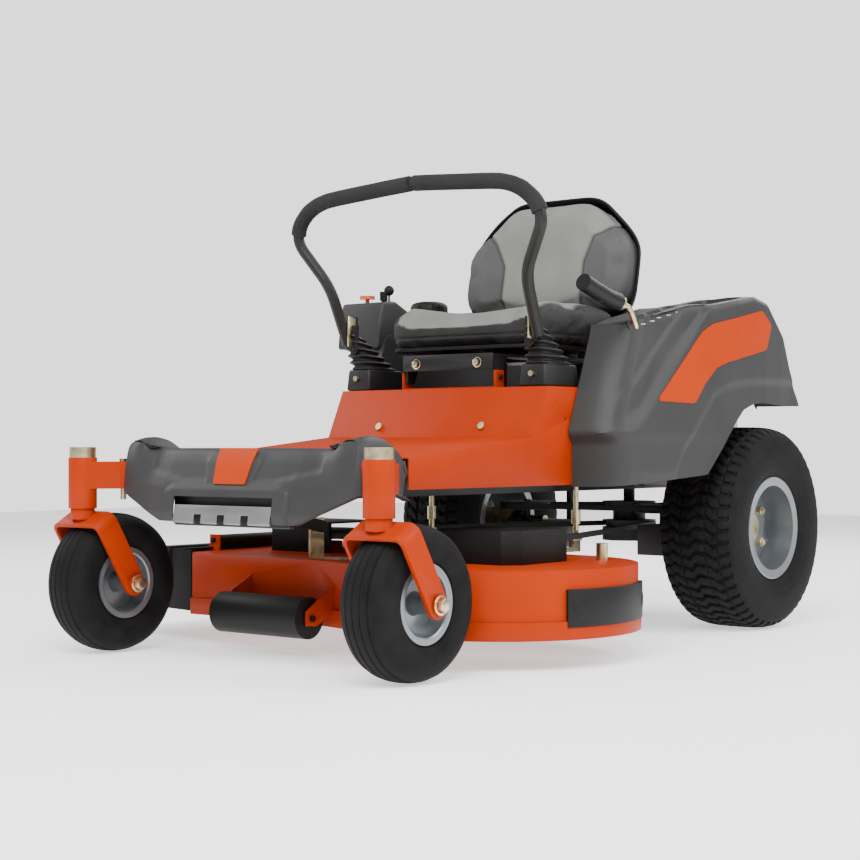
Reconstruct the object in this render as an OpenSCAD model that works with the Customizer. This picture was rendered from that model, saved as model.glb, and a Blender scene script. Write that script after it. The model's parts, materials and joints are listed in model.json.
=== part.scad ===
// Zero turn mower: a rear-engined riding mower on two drive wheels and two casters.
// Modelled about its mid-plane (X = 0), with +X to the operator's left, -Y forwards and
// the rear axle over Y = 0. in_frame() then moves the origin to the centre of the footprint.

/* [Wheels] */
// Distance from the rear axle to the caster axles at rest
wheelbase = 1219; // [1150:1:1300]
// Rear tyre outside diameter
rear_tyre_d = 457.2; // [420:0.1:500]
// Rear tyre width
rear_tyre_w = 185; // [150:1:200]
// Distance between the centres of the rear tyres
rear_track = 747; // [740:1:800]
// Rear rim bead seat diameter
rear_rim_d = 203.2; // [190:0.1:215]
// Caster tyre outside diameter
front_tyre_d = 279.4; // [255:0.1:285]
// Caster tyre width
front_tyre_w = 105; // [90:1:110]
// Distance between the kingpins
kingpin_track = 777.6; // [770:0.1:800]
// How far the caster axle lies behind its kingpin
caster_trail = 76.8; // [70:0.1:90]
// Caster rim bead seat diameter
front_rim_d = 127; // [115:0.1:135]

/* [Chassis] */
// Centre of each frame rail from the mid-plane
rail_x = 145; // [140:1:150]
// Rail width
rail_w = 40; // [30:1:44]
// Underside of the rails
rail_z = 315; // [312:1:325]
// Rail height
rail_h = 50; // [40:1:52]
// Rear face of the hitch plate behind the axle
rear_reach = 540; // [500:1:600]
// Kingpin barrel outside diameter
barrel_d = 56.6; // [50:0.1:62]
// Kingpin shaft diameter
kingpin_d = 25.4; // [20:0.1:30]
// Hitch hole diameter
hitch_hole_d = 16; // [12:0.5:20]

/* [Body] */
// Width of the seat box and of the floor behind the nose
body_w = 562; // [540:1:564]
// Height of the top of the seat box
body_top = 537; // [520:1:560]
// Lower edge of the body sides
body_low = 333; // [330:1:345]
// Sheet thickness of the body
sheet = 3; // [2:0.5:4]
// Wall of the plastic fenders and nose
fender_wall = 4; // [3:0.5:5]
// Outermost face of the fenders from the mid-plane
fender_x = 440; // [420:1:460]
// Radius of the wheel arch
arch_r = 278; // [265:1:290]

/* [Deck] */
// Distance of each blade spindle from the mid-plane
spindle_x = 262; // [262:1:264]
// Left spindle in front of the rear axle
left_spindle_y = 790; // [780:1:792]
// Right spindle in front of the rear axle
right_spindle_y = 712; // [705:1:715]
// Radius of the deck around each blade
lobe_r = 280; // [276:1:281]
// Blade tip radius
blade_r = 263; // [240:1:264]
// Lower lip of the deck at the lowest setting
deck_low = 57; // [50:1:60]
// Top of the deck at the lowest setting
deck_top = 185; // [175:1:188]
// Deck sheet thickness
deck_sheet = 3; // [2.5:0.5:5]
// Nose roller diameter
roller_d = 82; // [70:1:84]
// Nose roller length
roller_l = 236; // [180:1:240]

/* [Controls] */
// Lap bar tube diameter
bar_d = 25; // [20:0.5:26]
// Foam grip diameter
grip_d = 33; // [30:0.5:36]
// Height of the lap bar grips
grip_z = 967; // [930:1:1000]
// Height of the drive control pivot
arm_pivot_z = 470; // [455:1:480]

/* [Seat] */
// Width of the seat cushion
cushion_w = 494; // [460:1:498]
// Thickness of the seat cushion
cushion_t = 82; // [70:1:90]
// Width of the backrest
back_w = 474; // [440:1:480]
// Height of the backrest along its slope
back_h = 300; // [270:1:320]
// Backrest recline from upright in degrees
recline = 15; // [8:1:18]

/* [Hidden] */
$fn = 64;
fit = 0.05;
gap = 0.3;
eps = 1;
far = 2000;

rear_r = rear_tyre_d / 2;
front_r = front_tyre_d / 2;
rear_x = rear_track / 2;
king_x = kingpin_track / 2;
caster_y = -wheelbase;
king_y = caster_y - caster_trail;

barrel_low = 290;
barrel_top = 391;
cap_h = 21;
beam_low = 329;
beam_h = 54;
beam_front = -1252;
beam_back = -1206;
fork_t = 8;
fork_w = 50;
fork_in = front_tyre_w / 2 + 9;
crown_gap = 6;
fork_len = front_r + crown_gap + fork_t / 2;
fork_lean = asin(caster_trail / fork_len);
fork_top = front_r + fork_len * cos(fork_lean);
axle_d = 19;

left_c = [spindle_x, -left_spindle_y];
right_c = [-spindle_x, -right_spindle_y];
front_wall = -right_spindle_y - lobe_r;
lip_h = 34;
lip_t = 6;
bumper_t = 8;
tunnel_x = -545;
tunnel_front = front_wall + 17;
tunnel_back = -650;
pulley_z = 222;
belt_w = 12;
belt_t = 8;
spindle_pulley_r = 70;
blade_z = deck_low + 14;
blade_t = 5;
blade_w = 64;
hinge_x = -440;
hinge_z = 208;
chute_reach = -655;
roller_y = front_wall - 83;
roller_z = 79;
roller_mid = -97;
bumper_low = 80;
bumper_top = 150;

crank_y = 110;
crank_pulley_r = 62;
drive_pulley_r = 62;
drive_z = 268;
gearbox_in = 152;
gearbox_out = 262;

box_x = body_w / 2;
face_y = -639;
face_low_y = -687;
fold_z = 433;
fold_front_z = 393;
floor_front_y = -1085;
nose_y = -1262;
seat_hinge_y = -598;
seat_hinge_z = 561;
seat_hinge_x = 128;
plate_z = 605;
plate_t = 6;
bar_y = -613;
cushion_z = plate_z + plate_t + 20;
cushion_front = -600;
cushion_back = -262;
back_y = -262;
back_z = 706;
back_t = 84;

arm_y = -575;
arm_x = 236;
swing_x = 246;
swing_z = 630;
swing_y = -617;
bar_foot = [261, -645, 642];
boot_x = 239;
boot_y = -571;
boot_top = 656;

lever_x = 372;
lever_y = -390;
lever_z = 430;
shaft_y = -330;
shaft_z = 392;
shaft_r = 11;
lift_arm = 88;
link_y = -1190;
link_z = 302;
link_x = -70;
link_rear_y = -935;
link_rear_z = 250;

tank_x = -362;
cap_y = -230;
cap_z = 738;
knob_at = [-374, -448, 0];
throttle_at = [-311, -443, 0];
key_at = [-341, -427, 0];
console_top = 752;

x_left = max(spindle_x + lobe_r + bumper_t, rear_x + rear_tyre_w / 2);
y_front = caster_y - front_r;
centre = [(x_left + chute_reach) / 2, (rear_reach + y_front) / 2];

orange = [0.86, 0.36, 0.13];
shade_grey = [0.33, 0.33, 0.33];
charcoal = [0.17, 0.17, 0.17];
black = [0.08, 0.08, 0.08];
zinc = [0.75, 0.72, 0.62];
silver = [0.72, 0.74, 0.76];

// ---- shared shapes ----

module in_frame() translate([-centre[0], -centre[1], 0]) children();
module right_hand() mirror([1, 0, 0]) children();
module both() {
    children();
    right_hand() children();
}
module block(a, b) translate(a) cube(b - a);
module x_rod(x0, x1, y, z, r) translate([x0, y, z]) rotate([0, 90, 0]) cylinder(h = x1 - x0, r = r);
module y_rod(y0, y1, x, z, r) translate([x, y1, z]) rotate([90, 0, 0]) cylinder(h = y1 - y0, r = r);
module z_rod(z0, z1, x, y, r) translate([x, y, z0]) cylinder(h = z1 - z0, r = r);

// A side outline drawn in Y and Z, given its width along X.
module side_plate(x0, x1, points) translate([x0, 0, 0]) rotate([90, 0, 90]) linear_extrude(x1 - x0)
    polygon(points);
module plan_plate(z0, z1, points) translate([0, 0, z0]) linear_extrude(z1 - z0) polygon(points);

module rounded(w, l, r) {
    square([w - 2 * r, l], center = true);
    square([w, l - 2 * r], center = true);
    for (sx = [-1, 1], sy = [-1, 1]) translate([sx * (w / 2 - r), sy * (l / 2 - r)]) circle(r);
}

// A profile of [radius, offset] points turned about the X axis.
module turned_x(x, y, z, profile) translate([x, y, z]) rotate([0, 90, 0]) rotate_extrude()
    polygon(profile);

// A round tube through a list of points, as rings joined into one skin.
function unit(v) = v / norm(v);
function tangent(p, i) = unit(p[min(i + 1, len(p) - 1)] - p[max(i - 1, 0)]);
function ring(c, t, r, n) = let (side = unit(cross(t, [0.13, 1, 0.21])), up = cross(side, t))
    [for (k = [0:n - 1]) c + r * (cos(360 * k / n) * side + sin(360 * k / n) * up)];
module sweep(p, r, n = 16) {
    m = len(p);
    pts = [for (i = [0:m - 1]) each ring(p[i], tangent(p, i), r, n)];
    skin = [for (i = [0:m - 2], k = [0:n - 1])
        [i * n + k, i * n + (k + 1) % n, (i + 1) * n + (k + 1) % n, (i + 1) * n + k]];
    ends = [[for (k = [n - 1:-1:0]) k], [for (k = [0:n - 1]) (m - 1) * n + k]];
    polyhedron(points = pts, faces = concat(skin, ends), convexity = 6);
}
// Rounds each inner corner of a path with a curve of a given number of steps.
function bend(a, b, c, r, n) = let (p = b + r * unit(a - b), q = b + r * unit(c - b))
    [for (i = [0:n]) let (t = i / n) (1 - t) * (1 - t) * p + 2 * t * (1 - t) * b + t * t * q];
function smooth_path(p, r, n = 6) = concat([p[0]],
    [for (i = [1:len(p) - 2]) each bend(p[i - 1], p[i], p[i + 1], r, n)], [p[len(p) - 1]]);

// ---- chassis ----

module frame() color(black) {
    difference() {
        union() {
            both() block([rail_x - rail_w / 2, beam_back, rail_z],
                [rail_x + rail_w / 2, rear_reach - 6, rail_z + rail_h]);
            for (y = [beam_back, -800, -290, 400])
                block([-rail_x, y, rail_z + 6], [rail_x, y + 30, rail_z + rail_h - 6]);
            // Plate that carries the engine.
            block([-190, -60, rail_z + rail_h], [190, 330, rail_z + rail_h + 6]);
            // Uprights and cross plate that carry the seat box and the control pivots.
            both() block([rail_x + rail_w / 2 - 6, -634, rail_z + rail_h],
                [rail_x + rail_w / 2, -520, body_top - sheet]);
            both() block([rail_x + rail_w / 2, arm_y - 20, arm_pivot_z - 20],
                [arm_x - 10, arm_y + 20, arm_pivot_z + 20]);
            // Ears of the lift shaft on the outside of each rail.
            both() block([rail_x + rail_w / 2, shaft_y - 22, rail_z + 20],
                [rail_x + rail_w / 2 + 8, shaft_y + 22, shaft_z + 22]);
            // Outrigger that carries the lift lever pivot.
            block([rail_x + rail_w / 2, lever_y - 18, rail_z + 12], [344, lever_y + 18, rail_z + 24]);
            block([336, lever_y - 18, rail_z + 12], [344, lever_y + 18, lever_z + 18]);
            // Ears of the front deck link.
            block([-rail_x, link_y - 16, rail_z + 6], [link_x + 30, link_y + 16, rail_z + 18]);
            for (x = [link_x - 16, link_x + 10])
                block([x, link_y - 14, link_z - 14], [x + 6, link_y + 14, rail_z + 8]);
        }
        z_rod(rail_z, rail_z + rail_h + 10, 0, crank_y, 45);
        both() x_rod(rail_x, arm_x + 4, arm_y, arm_pivot_z, 8 + fit);
        x_rod(-200, 200, shaft_y, shaft_z, shaft_r + fit);
        x_rod(320, 360, lever_y, lever_z, 8 + fit);
        x_rod(link_x - 30, link_x + 30, link_y, link_z, 6 + fit);
    }
}

module front_axle_beam() color(orange) difference() {
    union() {
        block([-king_x + 40, beam_front, beam_low], [king_x - 40, beam_back, beam_low + beam_h]);
        // Gussets back from the barrels.
        both() plan_plate(beam_low, beam_low + beam_h, [[king_x, king_y - 20], [king_x - 20, king_y - 20],
            [king_x - 60, beam_front], [king_x - 60, beam_back], [king_x - 30, beam_back], [king_x,
                king_y + 20]]);
        both() z_rod(barrel_low, barrel_top, king_x, king_y, barrel_d / 2);
    }
    // The tube is open inside, so the beam is a box section.
    block([-king_x + 64, beam_front + 4, beam_low + 4], [king_x - 64, beam_back - 4,
        beam_low + beam_h - 4]);
    both() z_rod(barrel_low - eps, barrel_top + eps, king_x, king_y, kingpin_d / 2 + fit);
    both() z_rod(barrel_top - 14, barrel_top + eps, king_x, king_y, 23);
}

// The nose: a sloping face between two raised shoulders, open underneath and behind.
function nose_low(t) = 272 - 9 * t;
module nose_centre(t) intersection() {
    side_plate(-400, 400, [[-1250 + t, nose_low(t)], [-1272 + t, nose_low(t)], [-1290 + t, 290],
        [-1282 + t, 338], [-1246 + t, 413 - t], [floor_front_y - 0.3 + 9 * t, 394 - t],
        [floor_front_y - 0.3 + 9 * t, 340 - 6 * t], [-1200, 330 - 9 * t]]);
    side_flap(-1400, -900, [[-177 + t, nose_low(t)], [177 - t, nose_low(t)], [318 - t, 329 - 2 * t],
        [262 - t, 413 - t], [-262 + t, 413 - t], [-318 + t, 329 - 2 * t]]);
    plan_plate(200, 500, [[-185 + t, -1290 + t], [185 - t, -1290 + t], [318 - t, -1236 + t],
        [280.6 - t, -1104], [280.6 - t, -1000], [-280.6 + t, -1000], [-280.6 + t, -1104],
        [-318 + t, -1236 + t]]);
}
module nose_ear(t) intersection() {
    side_plate(240 + t, 400, [[-1250 + t, 300 - 9 * t], [-1262 + t, 329], [-1240 + t, 396], [-1204 + t,
        428 - t],
        [-1157 - t, 427 - t], [-1096 - t, 350 - t], [-1096 - t, 334 - 9 * t], [-1240, 300 - 9 * t]]);
    side_flap(-1400, -900, [[180 + t, 276 - 9 * t], [318 - t, 329 - 2 * t], [306 - t, 428 - t],
        [284 + t, 428 - t], [240 + t, 400 - t]]);
    plan_plate(200, 500, [[236 + t, -1270 + t], [318 - t, -1236 + t], [314 - t, -1090], [284.3 + t, -1090],
        [284.3 + t, -1180], [236 + t, -1200]]);
}
module foot_pan() color(shade_grey) difference() {
    union() {
        nose_centre(0);
        both() nose_ear(0);
    }
    nose_centre(fender_wall);
    both() nose_ear(fender_wall);
    // Clear of the beam where it passes through the sides.
    block([-400, beam_front - 3, beam_low - 3], [400, beam_back + 3, beam_low + beam_h + 2]);
    // The slot above the toe plate.
    block([-130, -1320, 288], [130, -1270, 319]);
}

module toe_step_plate() color(silver) difference() {
    side_plate(-127, 127, [[-1276, 288.3], [-1291, 303.5], [-1297, 271], [-1294, 268], [-1291, 270],
        [-1293, 284], [-1290.3, 288.3]]);
    for (x = [-62, 0, 62]) block([x - 10, -1300, 260], [x + 10, -1280, 286]);
}

// Seat box and floor: one welded shell of painted sheet, open below and behind.
module front_body_panel() {
    color(orange) difference() {
        union() {
            // Seat box.
            side_plate(-box_x, box_x, [[face_y, body_top], [face_low_y, fold_z], [face_low_y, body_low],
                [-190, body_low], [-190, body_top]]);
            // Floor with its side skirts.
            side_plate(-box_x, box_x, [[face_low_y + 1, fold_z], [floor_front_y, fold_front_z],
                [floor_front_y, body_low], [face_low_y + 1, body_low]]);
        }
        side_plate(-box_x + sheet, box_x - sheet, [[face_y + sheet, body_top - sheet],
            [face_low_y + sheet, fold_z], [face_low_y + sheet, body_low - eps],
            [-190 + eps, body_low - eps], [-190 + eps, body_top - sheet]]);
        side_plate(-box_x + sheet, box_x - sheet, [[face_low_y + sheet + 1, fold_z - sheet],
            [floor_front_y - eps, fold_front_z - sheet], [floor_front_y - eps, body_low - eps],
            [face_low_y + sheet + 1, body_low - eps]]);
        // Slots for the control arms under the boots.
        both() block([boot_x - 22, boot_y - 56, body_top - 10], [boot_x + 22, boot_y + 56, body_top + 1]);
        // The lift shaft passes through both sides.
        x_rod(-300, 300, shaft_y, shaft_z, shaft_r + 4);
        both() x_rod(240, 300, arm_y, arm_pivot_z, 3);
        block([box_x - 10, lever_y - 24, body_low - eps], [box_x + eps, lever_y + 24, rail_z + 30]);
    }
    // Hinge bracket of the seat, and the rubber stops that the seat plate rests on.
    color(orange) difference() {
        union() {
            block([-seat_hinge_x, seat_hinge_y - 16, body_top], [seat_hinge_x, seat_hinge_y + 14,
                body_top + 3]);
            both() block([seat_hinge_x - 4, seat_hinge_y - 16, body_top],
                [seat_hinge_x, seat_hinge_y + 14, seat_hinge_z + 14]);
        }
        x_rod(-200, 200, seat_hinge_y, seat_hinge_z, 5 + fit);
    }
    color(black) both() z_rod(body_top, plate_z - 0.3, 90, -300, 14);
}

// ---- fenders ----

function fender_outline(t) = [[-556 + t, 329 - 8 * t], [-556 + t, 418], [-571 + t, 441], [-484 + t,
    665 - t],
    [-293, 716 - t], [-209, 721 - t], [-49 - t / 2, 750 - t], [20 - t, 738 - t], [115 - t, 668],
    [205 - 1.4 * t, 507 - 8 * t]];
module fender_mass(t) intersection() {
    side_plate(box_x + t, fender_x - t, fender_outline(t));
    plan_plate(200, 900, [[box_x + t - 0.5, -600], [fender_x - 32 - t, -600], [fender_x - 32 - t, -440],
        [fender_x - t, -300], [fender_x - t, -40], [fender_x - 40 - t, 110], [fender_x - 95 - t, 260],
        [box_x + t - 0.5, 260]]);
}
module fender_shell() difference() {
    fender_mass(0);
    fender_mass(fender_wall);
    // Wheel arch, and the straight lower edge in front of it.
    x_rod(200, 500, 0, rear_r, arch_r);
    side_plate(200, 500, [[0, rear_r], [-700, 300], [-700, 329], [-556, 329], [-252, 352]]);
    side_plate(200, 500, [[0, rear_r], [0, 508], [260, 505], [260, rear_r]]);
    // The shell is open underneath.
    block([box_x + fender_wall, -556 + fender_wall, 200], [fender_x - 32 - fender_wall, -250, 345]);
}
module left_fender() color(shade_grey) {
    difference() {
        fender_shell();
        block([lever_x - 9, -478, 640], [lever_x + 9, -268, 760]);
        block([315, -222, 700], [398, -78, 800]);
        x_rod(240, 300, shaft_y, shaft_z, shaft_r + 4);
        block([200, lever_y - 24, 300], [345, lever_y + 24, rail_z + 30]);
    }
    // Storage tray let into the top.
    difference() {
        block([311, -226, 640], [402, -74, 716]);
        block([315, -222, 644], [398, -78, 800]);
    }
}
module right_fender() color(shade_grey) {
    right_hand() difference() {
        union() {
            difference() {
                fender_shell();
                block([296, -482, 600], [396, -380, 800]);
            }
            // Control console at the front.
            difference() {
                side_plate(292, 400, [[-484, 640], [-476, 744], [-466, console_top], [-410, console_top],
                    [-378, 722], [-378, 640]]);
                side_plate(296, 396, [[-480, 630], [-472, 742], [-464, console_top - 4],
                    [-412, console_top - 4], [-382, 720], [-382, 630]]);
            }
            z_rod(650, 728, -tank_x, -120, 43);
        }
        z_rod(654, 800, -tank_x, -120, 39);
        z_rod(600, 800, -tank_x, cap_y, 34);
        z_rod(740, 760, -knob_at[0], knob_at[1], 5 + fit);
        z_rod(740, 760, -key_at[0], key_at[1], 6 + fit);
        block([-throttle_at[0] - 3, throttle_at[1] - 19, 740], [-throttle_at[0] + 3,
            throttle_at[1] + 19, 760]);
        x_rod(240, 300, shaft_y, shaft_z, shaft_r + 4);
    }
}

module fuel_tank() color(black) difference() {
    union() {
        block([-396, -430, 475], [-285.2, -190, 630]);
        z_rod(630, cap_z - 20, tank_x, cap_y, 30);
    }
    block([-392, -426, 479], [-290, -194, 626]);
    z_rod(620, cap_z + 1, tank_x, cap_y, 25);
}

module battery() color(black) {
    block([-70, -480, rail_z + rail_h + 21], [70, -350, rail_z + rail_h + 150]);
    color(silver) for (x = [-45, 45]) z_rod(rail_z + rail_h + 150, rail_z + rail_h + 164, x, -380, 8);
    // Tray that spans the rails.
    block([-rail_x, -490, rail_z + rail_h], [rail_x, -340, rail_z + rail_h + 4]);
    block([-60, -470, rail_z + rail_h + 4], [60, -360, rail_z + rail_h + 21]);
}

// ---- engine ----

engine_z = rail_z + rail_h + 6;
module engine_block() {
    color(silver) {
        difference() {
            block([-125, -20, engine_z], [125, 225, 548]);
            z_rod(engine_z - 1, engine_z + 40, 0, crank_y, 25);
        }
        // Two finned cylinders in a vee that opens to the rear.
        for (s = [-1, 1]) translate([s * 80, 200, 495]) rotate([0, 0, -s * 38]) {
            rotate([-90, 0, 0]) cylinder(h = 110, r = 42);
            for (i = [0:5]) translate([-52, 24 + i * 15, -50]) cube([104, 6, 100]);
            translate([-48, 110, -46]) cube([96, 34, 92]);
        }
    }
    // Muffler across the back and its pipe.
    color(silver) {
        x_rod(-130, 130, 400, 428, 40);
        block([-150, 366, engine_z - 6], [150, 390, engine_z + 24]);
        both() block([124, 60, 500], [160, 100, 604.8]);
    }
    color([0.8, 0.8, 0.2]) x_rod(125, 200, 60, 440, 35);
}
module engine_shroud() color(black) difference() {
    union() {
        block([-165, -40, 548], [165, 260, 610]);
        z_rod(610, 676, 0, crank_y, 150);
        block([-95, -52, 610], [95, 60, 700]);
    }
    block([-160, -35, 547], [160, 255, 605]);
    z_rod(604, 670, 0, crank_y, 145);
    for (a = [0:30:330]) translate([0, crank_y, 660]) rotate([0, 0, a]) translate([40, -5,
        0]) cube([90, 10, 30]);
}
module crank_pulley() color(charcoal) difference() {
    union() {
        z_rod(pulley_z - 10, pulley_z + 10, 0, crank_y, crank_pulley_r + 4);
        z_rod(pulley_z + 10, drive_z - 10, 0, crank_y, 40);
        z_rod(drive_z - 10, drive_z + 10, 0, crank_y, crank_pulley_r + 4);
        z_rod(drive_z + 10, engine_z + 36, 0, crank_y, 14);
        z_rod(pulley_z - 40, pulley_z - 10, 0, crank_y, 66);
    }
    groove(0, crank_y, pulley_z, crank_pulley_r);
    groove(0, crank_y, drive_z, crank_pulley_r);
}
// V groove for a belt, cut round a pulley whose belt runs at a radius.
module groove(x, y, z, r) translate([x, y, z]) rotate_extrude()
    polygon([[r - 4.6, -6.6], [r + 8, -8], [r + 8, 8], [r - 4.6, 6.6]]);

module gearbox() difference() {
    union() {
        block([gearbox_in, -95, 160], [gearbox_out - 22, 85, 230]);
        x_rod(gearbox_out - 24, gearbox_out, 0, rear_r, 28);
        block([gearbox_in, 76, 190], [rail_x + rail_w / 2, 94, rail_z]);
        // Return spring lever and drain plug.
        z_rod(146, 160, 210, 20, 12);
    }
    x_rod(gearbox_in + 20, gearbox_out + 1, 0, rear_r, 12.7 + fit);
    z_rod(190, 231, 196, -50, 9 + fit);
}
module transaxles() color(charcoal) both() gearbox();
module drive_pulley() color(charcoal) difference() {
    union() {
        z_rod(192, drive_z + 14, 196, -50, 9);
        z_rod(drive_z - 10, drive_z + 10, 196, -50, drive_pulley_r + 4);
    }
    groove(196, -50, drive_z, drive_pulley_r);
}
module rear_guard() color(charcoal) difference() {
    union() {
        block([-185, rear_reach - 6, 300], [185, rear_reach, 400]);
        block([-60, rear_reach - 6, 290], [60, rear_reach, 440]);
        both() block([165, 410, rail_z + rail_h], [185, rear_reach - 6, 400]);
    }
    y_rod(rear_reach - 20, rear_reach + 5, 0, 312, hitch_hole_d / 2);
    for (x = [-120, 120], z = [330, 375]) y_rod(rear_reach - 20, rear_reach + 5, x, z, 5.5);
}

// ---- casters ----

// The fork is one strap bent over the tyre and leant back along its legs.
module caster_fork() {
    out = fork_in + fork_t;
    color(orange) translate([king_x, caster_y, front_r]) rotate([fork_lean, 0, 0]) difference() {
        union() {
            translate([0, fork_w / 2, 0]) rotate([90, 0, 0]) linear_extrude(fork_w) difference() {
                union() {
                    translate([-out, 0]) square([2 * out, fork_len - 20]);
                    translate([-out + 20, fork_len - 20]) square([2 * out - 40, 24]);
                    for (s = [-1, 1]) translate([s * (out - 20), fork_len - 16]) circle(20);
                }
                translate([-fork_in, -1]) square([2 * fork_in, fork_len - 16]);
                translate([-fork_in + 12, fork_len - 18]) square([2 * fork_in - 24, 14]);
                for (s = [-1, 1]) translate([s * (fork_in - 12), fork_len - 16]) circle(12);
            }
            for (s = [-1, 1]) x_rod(s > 0 ? fork_in : -out, s > 0 ? out : -fork_in, 0, 0, fork_w / 2);
        }
        x_rod(-100, 100, 0, 0, axle_d / 2 + fit);
    }
    // Kingpin, its seat on the crown, and the axle bolt with its head and nut.
    color(zinc) difference() {
        union() {
            z_rod(fork_top - 6, barrel_top - 16, king_x, king_y, kingpin_d / 2);
            z_rod(fork_top, barrel_low - 0.3, king_x, king_y, 24);
        }
        translate([king_x, caster_y, front_r]) rotate([fork_lean, 0, 0])
            block([-60, -60, fork_len - 60], [60, 60, fork_len + fork_t / 2]);
    }
    color(zinc) {
        x_rod(king_x - out - 2, king_x + out + 2, caster_y, front_r, axle_d / 2);
        x_rod(king_x + out, king_x + out + 8, caster_y, front_r, 14);
        x_rod(king_x - out - 12, king_x - out, caster_y, front_r, 14);
    }
}
module front_rim() {
    r = front_rim_d / 2;
    color(silver) difference() {
        turned_x(king_x, caster_y, front_r, [[axle_d / 2 + fit, -fork_in + 1], [17, -fork_in + 1], [17,
            -30],
            [22, -14], [r - 8, -10], [r - 5, -42], [r - 2, -44], [r + 8, -44], [r + 8, -41], [r - 0.2, -41],
            [r - 0.2, 41], [r + 8, 41], [r + 8, 44], [r - 2, 44], [r - 5, 42], [r - 8, 10], [22, 14],
            [17, 30], [17, fork_in - 1], [axle_d / 2 + fit, fork_in - 1]]);
    }
}
module front_tyre() {
    r = front_rim_d / 2;
    w = front_tyre_w / 2;
    color(black) turned_x(king_x, caster_y, front_r, [[r, -40.7], [r + 9, -40.7], [r + 12, -46],
        [r + 26, -w + 1], [r + 42, -w], [front_r - 20, -w + 4], [front_r - 8, -w + 14], [front_r - 2,
            -w + 28],
        [front_r, -w + 42], [front_r, w - 42], [front_r - 2, w - 28], [front_r - 8, w - 14],
        [front_r - 20, w - 4], [r + 42, w], [r + 26, w - 1], [r + 12, 46], [r + 9, 40.7], [r, 40.7],
        [r, 36], [r + 14, 38], [r + 40, w - 10], [front_r - 24, w - 12], [front_r - 12, w - 30],
        [front_r - 12, -w + 30], [front_r - 24, -w + 12], [r + 40, -w + 10], [r + 14, -38], [r, -36]]);
}

// ---- drive wheels ----

module rear_rim() {
    r = rear_rim_d / 2;
    disc = 20;
    color(silver) difference() {
        turned_x(rear_x, 0, rear_r, [[31, disc], [60, disc], [70, disc - 12], [r - 6, disc - 12],
            [r - 6, -81], [r + 12, -83], [r + 14, -82], [r + 14, -78.3], [r - 0.2, -78.3], [r - 0.2, 78.3],
            [r + 14, 78.3], [r + 14, 82], [r + 12, 83], [r - 6, 81], [r - 6, disc - 8], [72, disc - 8],
            [62, disc + 4], [31, disc + 4]]);
        for (a = [45:90:315]) translate([rear_x, 0, rear_r]) rotate([a, 0, 0])
            x_rod(0, 60, 50.8, 0, 6 + fit);
    }
}
module rear_tyre() {
    r = rear_rim_d / 2;
    w = rear_tyre_w / 2;
    color(black) turned_x(rear_x, 0, rear_r, [[r, -78], [r + 15, -78], [r + 18, -84], [r + 44, -w],
        [r + 74, -w], [rear_r - 24, -w + 4], [rear_r - 8, -w + 14], [rear_r, -w + 30], [rear_r, w - 30],
        [rear_r - 8, w - 14], [rear_r - 24, w - 4], [r + 74, w], [r + 44, w], [r + 18, 84], [r + 15, 78],
        [r, 78], [r, 70], [r + 22, 74], [r + 50, w - 12], [rear_r - 30, w - 14], [rear_r - 16, w - 34],
        [rear_r - 16, -w + 34], [rear_r - 30, -w + 14], [r + 50, -w + 12], [r + 22, -74], [r, -70]]);
}
module axle_hub() {
    disc = rear_x + 20;
    color(zinc) {
        x_rod(gearbox_in + 24, disc - 6, 0, rear_r, 12.7);
        x_rod(gearbox_out + 4, disc - 10, 0, rear_r, 30);
        x_rod(disc - 10, disc, 0, rear_r, 59);
        x_rod(disc - 2, disc + 8, 0, rear_r, 30);
        for (a = [45:90:315]) translate([0, 0, rear_r]) rotate([a, 0, 0]) {
            x_rod(disc - 4, disc + 18, 50.8, 0, 6);
            translate([disc + 4, 50.8, 0]) rotate([0, 90, 0]) cylinder(h = 9, r = 11, $fn = 6);
        }
    }
}

// ---- steering controls ----

lean = atan2(arm_y - swing_y, swing_z - arm_pivot_z);
module control_arm() color(black) {
    translate([0, arm_y, arm_pivot_z]) rotate([lean, 0, 0]) {
        block([arm_x - 4, -13, -24], [arm_x + 4, 13, 168]);
        x_rod(arm_x - 14 - 60, arm_x + 4, 0, 0, 8);
    }
    // Knuckle that the lap bar swings on.
    y_rod(swing_y - 12, swing_y + 12, swing_x - 6, swing_z, 9);
    y_rod(swing_y - 34, swing_y - 10, swing_x - 6, swing_z, 6);
}
module lap_path() sweep(smooth_path([bar_foot, [267, -697, 765], [338, -733, 872], [300, -742, 938],
    [222, -741, 951], [9.5, -734, grip_z]], 34), bar_d / 2);
module lap_bar() {
    color(black) lap_path();
    // Slotted height bracket, bolted to the tube and hung on the knuckle.
    color(zinc) difference() {
        union() {
            y_rod(swing_y - 32, swing_y - 14, swing_x - 6, swing_z, 11);
            block([swing_x - 16, swing_y - 32, swing_z], [swing_x + 14, swing_y - 26, 682]);
            block([246, -652, 640], [249, -628, 702]);
            block([swing_x - 6, -652, 630], [249, swing_y - 26, 652]);
        }
        y_rod(swing_y - 40, swing_y, swing_x - 6, swing_z, 6 + fit);
    }
}
function mid(a, b, t) = a + (b - a) * t;
grip_a = [9.5, -734, grip_z];
grip_b = [222, -741, 951];
module grip() {
    d = grip_b - grip_a;
    len_g = 172;
    color(charcoal) translate(grip_a - 3 * unit(d))
        rotate([0, acos(d[2] / norm(d)), atan2(d[1], d[0])]) difference() {
            cylinder(h = len_g, r = grip_d / 2);
            translate([0, 0, 2.9]) cylinder(h = len_g, r = bar_d / 2 + 0.1);
        }
}
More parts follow.
